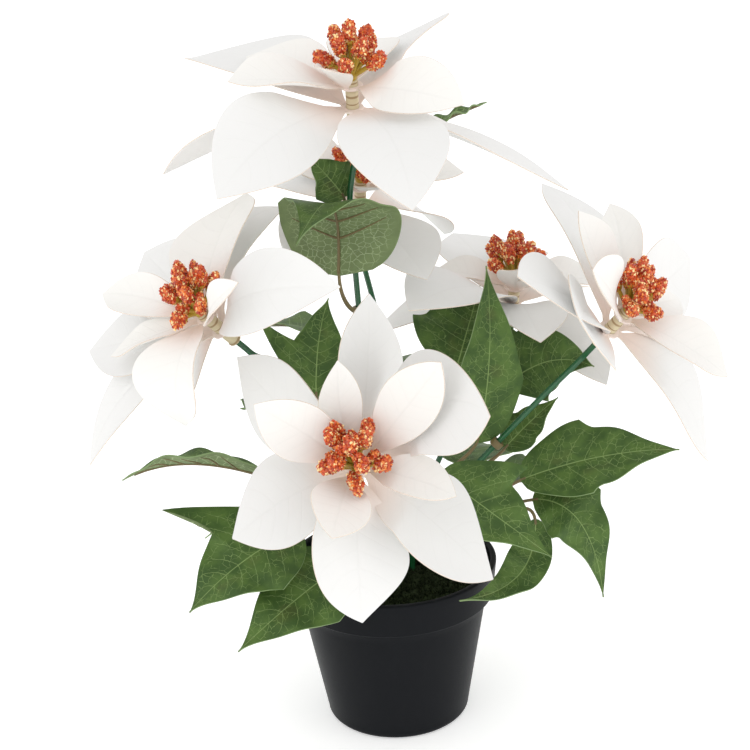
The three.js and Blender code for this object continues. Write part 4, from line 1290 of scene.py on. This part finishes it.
# Where each colour of glitter starts among the flecks, and the first flecks that shine like metal
TONE_STARTS = (0.0, 0.28, 0.62, 0.80)
METAL_FLECKS = (0.79, 0.81)
METAL_SHARE = 0.4

# The first seed of the heads; each bloom has the next one
HEAD_SEED = 700


def head_width(share, radius):
    """Half a flower head's width along its length: its radius times sin(pi s^0.8)^0.6."""
    return radius * np.clip(np.sin(math.pi * share ** 0.8), 0, None) ** 0.6


def grains(count, sizes, radius, length, draw):
    """Glitter grains on a head that stands along +Z: closed eight-sided stones, turned at random.

    Grain k sits k steps and a drawn part of a step up the head, and k golden angles round it. Each stone
    is three crossed axes of drawn lengths, and its fleck number picks its colour.
    """
    number = np.arange(count)
    share = GRAIN_FIRST + GRAIN_SPAN * (number + draw.uniform(*GRAIN_STEP_DRIFT, count)) / count
    turn = number * GOLDEN_ANGLE + draw.normal(0, GRAIN_TURN_DRIFT, count)
    out = head_width(share, radius) + draw.uniform(*GRAIN_OUT_DRIFT, count)
    middle = np.stack([out * np.cos(turn), out * np.sin(turn), share * length], axis=-1)
    axes = np.linalg.qr(draw.normal(size=(count, 3, 3)))[0]
    axes = axes * np.sign(np.linalg.det(axes))[:, None, None]
    arms = axes * (draw.uniform(*sizes, (count, 3, 1)) / 2)
    points = middle[:, None] + np.concatenate([arms, -arms], axis=1)
    corners = np.array([
        [0, 1, 2], [1, 3, 2], [3, 4, 2], [4, 0, 2], [1, 0, 5], [3, 1, 5], [4, 3, 5], [0, 4, 5],
    ])
    faces = (number[:, None, None] * 6 + corners).reshape(-1, 3)
    return Shape(points.reshape(-1, 3), [(0, faces)], fleck=np.repeat(draw.uniform(0, 1, count), 6))


def knob(radius, length, settings, draw):
    """A glitter knob that stands along +Z: a smooth core under coarse and fine grains.

    It has as many grains, as a share of a full head's, as its side view has of a full head's area.
    """
    height = np.linspace(0, 1, CORE_STEPS)
    width = head_width(height, radius - CORE_INSET)
    core = turned([[0, 0], *np.stack([width, height * length], axis=-1)[1:-1], [0, length]], sides=10)
    core.fields["fleck"] = np.full(len(core.points), CORE_FLECK)
    share = radius * length / (HEAD_RADIUS * HEAD_LENGTH)
    shapes = [core]
    for count, shares, lift in ((settings.coarse, COARSE_SIZES, 0), (settings.fine, FINE_SIZES, FINE_LIFT)):
        sizes = [settings.grain / MM * part for part in shares]
        shapes.append(grains(round(count * share), sizes, radius + lift, length, draw))
    return shapes


def flower_head(settings, share, draw):
    """One head that stands along +Z: a slim main knob, five small ones up its sides and a cup below.

    The small knobs lean away from the head's axis, each two fifths of a turn on and a step higher.
    """
    radius, length = HEAD_RADIUS * share * HEAD_SLIMNESS, HEAD_LENGTH * share * HEAD_STRETCH
    shapes = knob(radius, length, settings, draw)
    first = draw.uniform(0, 2 * math.pi)
    for number in range(SIDE_KNOBS):
        turn = first + number * 4 * math.pi / SIDE_KNOBS + draw.normal(0, SIDE_TURN_DRIFT)
        lift = length * (SIDE_FIRST + SIDE_STEP * number + draw.uniform(0, SIDE_DRIFT))
        side = tilted(draw.uniform(*SIDE_TILT), turn, lift, (0, 0))
        small = knob(radius * SIDE_RADIUS, length * SIDE_LENGTH, settings, draw)
        shapes += [shape.moved(side) for shape in small]
    widths = [*CUP_FOOT, *(radius * part for part in CUP_WIDTHS)]
    cup = turned([[0, CUP_HEIGHTS[0]], *zip(widths, CUP_HEIGHTS), [0, CUP_HEIGHTS[-1]]], sides=14)
    return [*shapes, cup.finished(1)]


def tilted(tilt, turn, lift, lean):
    """Puts points that stand along +Z onto a stalk: tipped, turned, leant and raised to its foot.

    The tip is a turn about X by tilt and the turn one about Z. The lean then moves each point sideways
    by its share of the height.
    """
    tilt = math.radians(tilt)
    tip = np.array([[1, 0, 0], [0, math.cos(tilt), -math.sin(tilt)], [0, math.sin(tilt), math.cos(tilt)]])
    spin = np.array([[math.cos(turn), -math.sin(turn), 0], [math.sin(turn), math.cos(turn), 0], [0, 0, 1]])
    shear = np.array([[1, 0, lean[0]], [0, 1, lean[1]], [0, 0, 1]])
    return lambda points: np.asarray(points) @ (shear @ spin @ tip).T + [0, 0, lift]


def stalk_tube(length, draw):
    """A stalk that stands along +Z: thicker at its foot and bowed to one side by a drawn part."""
    path = np.linspace([0, 0, 0.5], [0, 0, length], STALK_STEPS)
    path[:, 0] = STALK_BOW * np.sin(np.linspace(0, math.pi, STALK_STEPS)) * draw.normal(0, 1)
    return tube(path, np.linspace(STALK_FOOT_RADIUS, STALK_RADIUS, STALK_STEPS), sides=8).finished(1)


def spray(settings, lean, seed):
    """All the heads of a bloom on stalks that spread in rings from one small base."""
    draw = np.random.default_rng(seed)
    foot = NECK_ABOVE + FIT_GAP
    base = turned([
        [0, foot - 0.3], [SPRAY_BASE_RADIUS - 0.3, foot - 0.3], [SPRAY_BASE_RADIUS, foot + 0.4],
        [SPRAY_BASE_RADIUS - 0.1, foot + 2], [1.8, foot + 3.6], [0, foot + 4.2],
    ], sides=20)
    shapes = [base.finished(1)]
    for count, tilt, stalk, share, start in HEAD_RINGS:
        for number in range(count):
            tipped = tilt + draw.normal(0, STALK_TILT_DRIFT)
            turn = 2 * math.pi * (number + start) / count + draw.normal(0, STALK_TURN_DRIFT)
            place = tilted(tipped, turn, foot + 0.5, lean)
            raise_head = tilted(0, 0, stalk - STALK_SINK, (0, 0))
            raised = [shape.moved(raise_head) for shape in flower_head(settings, share, draw)]
            raised.append(stalk_tube(stalk, draw))
            shapes += [shape.moved(place) for shape in raised]
    return shapes


def glitter_paint(settings):
    """Glitter: each stone has its own colour, from deep red to gold, and its facets shine."""
    paint = Paint("head_glitter")
    fleck = paint.field("fleck")
    tones = [tuple(tone) for tone in (settings.red, settings.orange, settings.amber, settings.gold)]
    base = paint.add("ShaderNodeValToRGB", {"bands": list(zip(TONE_STARTS, tones))}, {"Fac": fleck})
    return paint.finish(
        Base_Color=base, Roughness=0.28, Metallic=paint.step(fleck, *METAL_FLECKS) * METAL_SHARE,
        Coat_Weight=0.35, Coat_Roughness=0.15,
    )


class POINSETTIA_OT_heads(bpy.types.Operator):
    """Dips the flower heads in glitter and sets them on their stalks"""

    bl_idname = "poinsettia.heads"
    bl_label = "Flower heads"

    def execute(self, context):
        settings = context.scene.poinsettia_heads
        stalk = tuple(settings.stalk)
        paints = [
            glitter_paint(settings),
            plastic_paint("stalk_plastic", stalk, 0.38, grain_size=0.002, grain=0.0002, variation=0.3),
        ]
        for seed, (name, bloom) in enumerate(BLOOMS.items(), start=HEAD_SEED):
            heads = spray(settings, bloom["lean"], seed)
            shapes = [shape.moved(bloom_place(bloom)) for shape in heads]
            piece(f"{name}_head_spray", shapes, paints, f"{name}_cyathia", smooth_below=35)
        return {"FINISHED"}


# ---- stems ----

# Heights on a neck's axis where its stem lies, measured from the foot of the neck, and how far a stem
# stands straight above the plug, in millimetres
NECK_RUN_IN = (-16, -8, 4)
STEM_STAND = 12

# A stem: how much slimmer it is than its solid, in millimetres, and the depth of its flutes as a share
STEM_SLIMMING = 0.1
FLUTE_DEPTH = 0.28


def smooth_path(points, per_span):
    """A centripetal Catmull-Rom curve through points, with that many steps in each span.

    The spans' paces are the square roots of their lengths, and each end is carried on in a straight line.
    """
    points = np.asarray(points, float)
    knots = np.vstack([2 * points[0] - points[1], points, 2 * points[-1] - points[-2]])
    pace = np.sqrt(np.linalg.norm(np.diff(knots, axis=0), axis=1))[:, None]
    before, here, after = pace[:-2], pace[1:-1], pace[2:]
    first, second, third, fourth = knots[:-3], knots[1:-2], knots[2:-1], knots[3:]
    leave = ((second - first) / before - (third - first) / (before + here) + (third - second) / here) * here
    arrive = ((third - second) / here - (fourth - second) / (here + after) + (fourth - third) / after) * here
    t = (np.arange(per_span) / per_span)[None, :, None]
    spans = (
        second[:, None]
        + leave[:, None] * t
        + (3 * (third - second) - 2 * leave - arrive)[:, None] * t ** 2
        + (2 * (second - third) + leave + arrive)[:, None] * t ** 3
    )
    return np.vstack([spans.reshape(-1, 3), points[-1:]])


def stem_path(name):
    """The middle line of a stem: straight in its hole, bent on its way and straight into its neck."""
    (x, y), bends = STEMS[name]["foot"], STEMS[name]["bends"]
    low = PLUG_EDGE_HEIGHT - HOLE_DEPTH + FIT_GAP
    heights = np.array([*(height - NECK_BELOW for height in NECK_RUN_IN), STEM_STOP - FIT_GAP])
    into_neck = bloom_place(BLOOMS[name])(heights[:, None] * [0, 0, 1])
    standing = [[x, y, height] for height in (low, PLUG_EDGE_HEIGHT, PLUG_EDGE_HEIGHT + STEM_STAND)]
    return smooth_path([*standing, *bends, *into_neck], STEM_STEPS)


class POINSETTIA_OT_stems(bpy.types.Operator):
    """Bends the fluted wire stems from the moss to the necks"""

    bl_idname = "poinsettia.stems"
    bl_label = "Stems"

    def execute(self, context):
        settings = context.scene.poinsettia_stems
        paint = plastic_paint(
            "stem_plastic", tuple(settings.stem), 0.22, grain_size=0.004, grain=0.00006, variation=0.2,
            specular=0.6,
        )
        for name in BLOOMS:
            shape = tube(stem_path(name), STEM_RADIUS - STEM_SLIMMING, 30, settings.flutes, FLUTE_DEPTH)
            piece(f"{name}_wire_stem", [shape], [paint], f"{name}_stem", smooth_below=60)
        return {"FINISHED"}


# ---- leaves ----

# A leaf's outline is half its width times sin(pi t^swell)^(LEAF_FULLNESS + LEAF_TAPER t), and its lobes
# grow and fall as these powers
LEAF_FULLNESS = 0.75
LEAF_TAPER = 0.6
LOBE_GROWTH = 1.6
LOBE_FALL = 1.4

# Its surface: how round the fold along its midrib is, as a share of the half width, the waves of an edge
# and by how many radians the right edge is ahead, and the steps along and across that give the normal
FOLD_ROUNDING = 0.04
LEAF_WAVES = 3
RIGHT_WAVE_SHIFT = 2
NORMAL_STEPS = (0.01, 0.04)

# The ribs under it: where the midrib starts and ends and how far across the side ribs reach, as shares;
# their radii at the root and at the tip and how deep they lie under the cloth, in millimetres
MIDRIB_SPAN = (0.01, 0.9)
MIDRIB_RADII = (0.95, 0.3)
MIDRIB_DEPTH = 0.25
SIDE_RIB_SPAN = (0.0, 0.78)
SIDE_RIB_RADII = (0.68, 0.2)
SIDE_RIB_DEPTH = 0.1

# The petiole, in millimetres: how much thicker than its solid it is at the stem, its radius at the leaf
# and how far it runs on under the leaf
PETIOLE_FLARE = 0.25
PETIOLE_TIP_RADIUS = 0.85
PETIOLE_RUN_ON = 3

# The collar, in millimetres: its bore lies COLLAR_INSET inside this radius and its outside COLLAR_WALL
# outside it, with edges cut back by COLLAR_INSET
COLLAR_RADIUS = 2.48
COLLAR_INSET = 0.3

# How dark the blotches of the underside are, and how wide its net is, against the colour and net set
UNDER_SHADE = 0.8
UNDER_NET = 1.1


def lobe_at(along):
    """How much of a side lobe there is: it grows to a point at the peak and falls back by the end."""
    grow = np.clip((along - LOBE_START) / (LOBE_PEAK - LOBE_START), 0, 1) ** LOBE_GROWTH
    fall = np.clip((LOBE_END - along) / (LOBE_END - LOBE_PEAK), 0, 1) ** LOBE_FALL
    return np.where(along < LOBE_PEAK, grow, fall)


class Leaf:
    """A folded blade carried along a curved midrib, a quadratic Bezier curve from root to tip."""

    def __init__(self, row):
        self.stem, self.height, root, bend, tip, face, self.width, fold, self.lobes, self.swell = row
        self.root, self.bend, self.tip = (np.array(point, float) for point in (root, bend, tip))
        self.fold = math.radians(fold)
        self.length = np.linalg.norm(self.bend - self.root) + np.linalg.norm(self.tip - self.bend)
        self.binormal = unit(np.cross(self.bend - self.root, self.tip - self.bend))
        first = unit(np.cross(self.binormal, self.bend - self.root))
        self.turn = math.atan2(np.dot(face, self.binormal), np.dot(face, first))

    def lobe(self, along, across):
        """How much of its own side's lobe there is at a place."""
        return lobe_at(along) * np.where(across < 0, *self.lobes)

    def place(self, along, across):
        """A place along the midrib, carried forward by the lobe as far as the place is across."""
        return along + LOBE_FORWARD * self.lobe(along, across) * np.abs(across)

    def half_width(self, along, across):
        """Half the leaf's width at a share of its length, and what a lobe adds on its side."""
        swell = np.sin(math.pi * along ** self.swell)
        swell = np.clip(swell, 0, None) ** (LEAF_FULLNESS + LEAF_TAPER * along)
        least = np.where(along < 0.5, LEAF_BASE_HALF_WIDTH, TIP_HALF_WIDTH)
        return np.maximum(self.width / 2 * swell, least) + LOBE_REACH * self.width * self.lobe(along, across)

    def point(self, along, across):
        """The middle surface: the midrib's point, plus the half width across, folded up, plus a wave."""
        along, across = np.broadcast_arrays(np.asarray(along, float), np.asarray(across, float))
        place = self.place(along, across)[..., None]
        spine = (1 - place) ** 2 * self.root + 2 * place * (1 - place) * self.bend + place ** 2 * self.tip
        forward = unit((1 - place) * (self.bend - self.root) + place * (self.tip - self.bend))
        bow = unit(np.cross(self.binormal, forward))
        up = bow * math.cos(self.turn) + self.binormal * math.sin(self.turn)
        side = unit(np.cross(up, forward))
        half = self.half_width(along, across)
        lift = np.sqrt(across ** 2 + FOLD_ROUNDING ** 2) - FOLD_ROUNDING
        shift = np.where(across > 0, RIGHT_WAVE_SHIFT, 0)
        wave = LEAF_WAVE * np.abs(across) * np.sin(LEAF_WAVES * 2 * math.pi * along + shift)
        rise = lift * half * math.sin(self.fold) + wave * np.sin(math.pi * along)
        return spine + side * (across * half * math.cos(self.fold))[..., None] + up * rise[..., None]

    def normal(self, along, across):
        """The way the upper side faces: the cross product of two short steps on the surface."""
        step, stride = NORMAL_STEPS
        ahead = self.point(along + step, across) - self.point(along - step, across)
        over = self.point(along, across + stride) - self.point(along, across - stride)
        return unit(np.cross(ahead, over))

    def blade(self, cloth, number):
        """The cloth: a closed sheet on the surface, with its place along and across for the veins."""
        rows = np.unique(np.concatenate([np.linspace(0, 1, LEAF_ROWS), [LOBE_PEAK, LOBE_END]]))
        along, across = np.meshgrid(rows, np.linspace(-1, 1, LEAF_COLUMNS), indexing="ij")
        half, place = self.half_width(along, across), self.place(along, across)
        blade = np.stack([along, across, np.full_like(along, self.length)], axis=-1)
        flat = np.stack([place * self.length, across * half, np.full_like(along, number)], axis=-1)
        return sheet(self.point(along, across), cloth, blade=blade.reshape(-1, 3), flat=flat.reshape(-1, 3))

    def rib(self, along, across, depth, radii, sides):
        """A tapered rib along a line on the surface, its middle that deep under it."""
        path = self.point(along, across) - self.normal(along, across) * depth
        return tube(path, np.linspace(*radii, len(path)), sides).finished(3)

    def ribs(self, cloth):
        """The moulded ribs under the blade: a midrib and the side ribs along the side veins."""
        along = np.linspace(*MIDRIB_SPAN, MIDRIB_STEPS)
        shapes = [self.rib(along, 0 * along, cloth / 2 + MIDRIB_DEPTH, MIDRIB_RADII, sides=8)]
        across = np.linspace(*SIDE_RIB_SPAN, SIDE_RIB_STEPS)
        for number in range(1, SIDE_RIBS + 1):
            along = VEIN_FIRST + VEIN_STEP * number + VEIN_FORWARD * across ** VEIN_CURVE
            for side in (-1, 1):
                depth = cloth / 2 + SIDE_RIB_DEPTH
                shapes.append(self.rib(along, side * across, depth, SIDE_RIB_RADII, sides=6))
        return shapes

    def petiole(self):
        """The collar on the stem and the petiole, a cubic Bezier curve from it to the blade's root."""
        path = stem_path(self.stem)
        upper = int(np.argmax(path[:, 2] > self.height))
        share = (self.height - path[upper - 1][2]) / (path[upper][2] - path[upper - 1][2])
        middle = path[upper - 1] + (path[upper] - path[upper - 1]) * share
        along = unit(path[upper] - path[upper - 1])
        outward = self.root - middle
        outward = unit(outward - np.dot(outward, along) * along)
        axes = np.stack([outward, np.cross(along, outward), along])
        half, outer = COLLAR_HEIGHT / 2, COLLAR_RADIUS + COLLAR_WALL
        ring = bevelled_ring(COLLAR_RADIUS - COLLAR_INSET, outer, -half, half, COLLAR_INSET, sides=24)
        collar = ring.moved(lambda points: points @ axes + middle)
        start = middle + outward * (COLLAR_RADIUS + COLLAR_WALL / 2)
        run = unit(self.bend - self.root)
        reach = np.linalg.norm(start - self.root) / 3
        leave = start + outward * reach + along * reach / 3
        arrive, end = self.root - run * reach, self.root + run * PETIOLE_RUN_ON
        t = np.linspace(0, 1, PETIOLE_STEPS)[:, None]
        path = (1 - t) ** 3 * start + 3 * t * (1 - t) ** 2 * leave
        path = path + 3 * t ** 2 * (1 - t) * arrive + t ** 3 * end
        radii = np.linspace(PETIOLE_RADIUS + PETIOLE_FLARE, PETIOLE_TIP_RADIUS, PETIOLE_STEPS)
        return [collar.finished(3), tube(path, radii, sides=10).finished(3)]


class POINSETTIA_OT_leaves(bpy.types.Operator):
    """Prints the leaves, presses their ribs on and clips them to the stems"""

    bl_idname = "poinsettia.leaves"
    bl_label = "Leaves"

    def execute(self, context):
        settings = context.scene.poinsettia_leaves
        net, cloth = settings.net / MM, settings.cloth / MM
        greens = [tuple(value) for value in (settings.deep, settings.light, settings.vein, settings.stain)]
        under = tuple(settings.under)
        pale = [tuple(value * UNDER_SHADE for value in under), under, tuple(settings.under_vein), under]
        rib = tuple(settings.rib)
        paints = [
            leaf_paint("leaf_upper", *greens, net, thread=0.046, wear=0.49, roughness=0.5),
            leaf_paint("leaf_underside", *pale, net * UNDER_NET, thread=0.075, wear=0.25, roughness=0.62),
            edge_paint("leaf_edge", tuple(settings.edge), roughness=0.7),
            plastic_paint("rib_plastic", rib, 0.45, grain_size=0.003, grain=0.00012, variation=0.3),
        ]
        for number, row in enumerate(LEAVES, start=1):
            leaf, name = Leaf(row), f"leaf_{number:02d}"
            shapes = [leaf.blade(cloth, number), *leaf.ribs(cloth), *leaf.petiole()]
            piece(f"{name}_blade", shapes, paints, name, smooth_below=50)
        return {"FINISHED"}


# ---- stage ----

# The lights: places and sizes in metres, and the point that they look at
KEY_PLACE, KEY_SIZE = (-0.7, -1.3, 1.5), 1.2
FILL_PLACE, FILL_SIZE = (1.4, -0.7, 0.8), 1.0
LIT_POINT = (0, 0, 0.22)

# The floor: its clouds in waves to a metre, how dark they are and how much they show, and its own light
FLOOR_CLOUD_SCALE = 3
FLOOR_SHADE = 0.98
FLOOR_CLOUD_SHARE = 0.1
FLOOR_GLOW = 0.4


def floor_paint(settings):
    """A plain pale floor, lit a little from within so that it stays bright to its far edge."""
    paint = Paint("floor")
    cloud = paint.noise(paint.place(), FLOOR_CLOUD_SCALE, detail=2)
    floor = tuple(settings.floor)
    return paint.finish(
        Base_Color=paint.mix(cloud * FLOOR_CLOUD_SHARE, floor, [value * FLOOR_SHADE for value in floor]),
        Roughness=0.9, Emission_Color=(1, 1, 1), Emission_Strength=FLOOR_GLOW,
    )


def soft_light(name, power, size_of, place, target):
    """A large square light that looks at a point."""
    data = bpy.data.lights.new(name, "AREA")
    data.energy, data.size = power, size_of
    light = bpy.data.objects.new(name, data)
    light.location = place
    aim = np.array(target) - np.array(place)
    light.rotation_euler = (math.acos(-unit(aim)[2]), 0, math.atan2(-aim[0], aim[1]))
    bpy.context.scene.collection.objects.link(light)


class POINSETTIA_OT_stage(bpy.types.Operator):
    """Lays the floor and sets the lights and the camera"""

    bl_idname = "poinsettia.stage"
    bl_label = "Stage"

    def execute(self, context):
        settings = context.scene.poinsettia_stage
        mesh = bpy.data.meshes.new("floor")
        corners = [(x * FLOOR_HALF, y * FLOOR_HALF, 0) for x, y in ((-1, -1), (1, -1), (1, 1), (-1, 1))]
        mesh.from_pydata(corners, [], [(0, 1, 2, 3)])
        mesh.materials.append(floor_paint(settings))
        floor = bpy.data.objects.new("floor", mesh)
        context.scene.collection.objects.link(floor)
        world = bpy.data.worlds.new("studio")
        world.use_nodes = True
        world.node_tree.nodes["Background"].inputs["Color"].default_value = (1, 1, 1, 1)
        world.node_tree.nodes["Background"].inputs["Strength"].default_value = settings.sky
        context.scene.world = world
        context.scene.view_settings.view_transform = "Standard"
        soft_light("key_light", settings.key, KEY_SIZE, KEY_PLACE, LIT_POINT)
        soft_light("fill_light", settings.fill, FILL_SIZE, FILL_PLACE, LIT_POINT)
        camera_data = bpy.data.cameras.new("camera")
        camera_data.angle = settings.angle
        camera = bpy.data.objects.new("camera", camera_data)
        target = np.array(settings.target)
        forward = np.array([0, math.cos(settings.height), -math.sin(settings.height)])
        right = np.array([1.0, 0.0, 0.0])
        up = np.cross(right, forward)
        cosine, sine = math.cos(settings.roll), math.sin(settings.roll)
        columns = [cosine * right + sine * up, cosine * up - sine * right, -forward]
        matrix = np.eye(4)
        matrix[:3, :3] = np.stack(columns, axis=1)
        matrix[:3, 3] = target - forward * settings.distance
        camera.matrix_world = Matrix(matrix.tolist())
        context.scene.collection.objects.link(camera)
        context.scene.camera = camera
        return {"FINISHED"}


# ---- panel and registration ----

PIECES = (
    POINSETTIA_OT_pot, POINSETTIA_OT_moss, POINSETTIA_OT_stems, POINSETTIA_OT_necks,
    POINSETTIA_OT_outer_bracts, POINSETTIA_OT_inner_bracts, POINSETTIA_OT_heads, POINSETTIA_OT_leaves,
    POINSETTIA_OT_stage,
)
SETTINGS = {
    "poinsettia_pot": PotSettings, "poinsettia_stems": StemSettings, "poinsettia_bracts": BractSettings,
    "poinsettia_heads": HeadSettings, "poinsettia_leaves": LeafSettings, "poinsettia_stage": StageSettings,
}


class POINSETTIA_PT_panel(bpy.types.Panel):
    """Lists the poinsettia's pieces and their settings"""

    bl_label = "Fabric Poinsettia"
    bl_space_type = "VIEW_3D"
    bl_region_type = "UI"
    bl_category = "Poinsettia"

    def draw(self, context):
        for operator in PIECES:
            self.layout.operator(operator.bl_idname)
        for name, group in SETTINGS.items():
            box = self.layout.box()
            box.label(text=group.__doc__)
            for setting in group.__annotations__:
                box.prop(getattr(context.scene, name), setting)


def register():
    """Registers the settings, the operators and the panel."""
    for cls in (*SETTINGS.values(), *PIECES, POINSETTIA_PT_panel):
        bpy.utils.register_class(cls)
    for name, group in SETTINGS.items():
        setattr(bpy.types.Scene, name, bpy.props.PointerProperty(type=group))


def unregister():
    """Takes the settings, the operators and the panel away again."""
    for name in SETTINGS:
        delattr(bpy.types.Scene, name)
    for cls in (POINSETTIA_PT_panel, *reversed(PIECES), *reversed(tuple(SETTINGS.values()))):
        bpy.utils.unregister_class(cls)


def main():
    """Registers the settings, the operators and the panel, then makes every piece."""
    register()
    for operator in PIECES:
        group, name = operator.bl_idname.split(".")
        getattr(getattr(bpy.ops, group), name)()


if __name__ == "__main__":
    main()
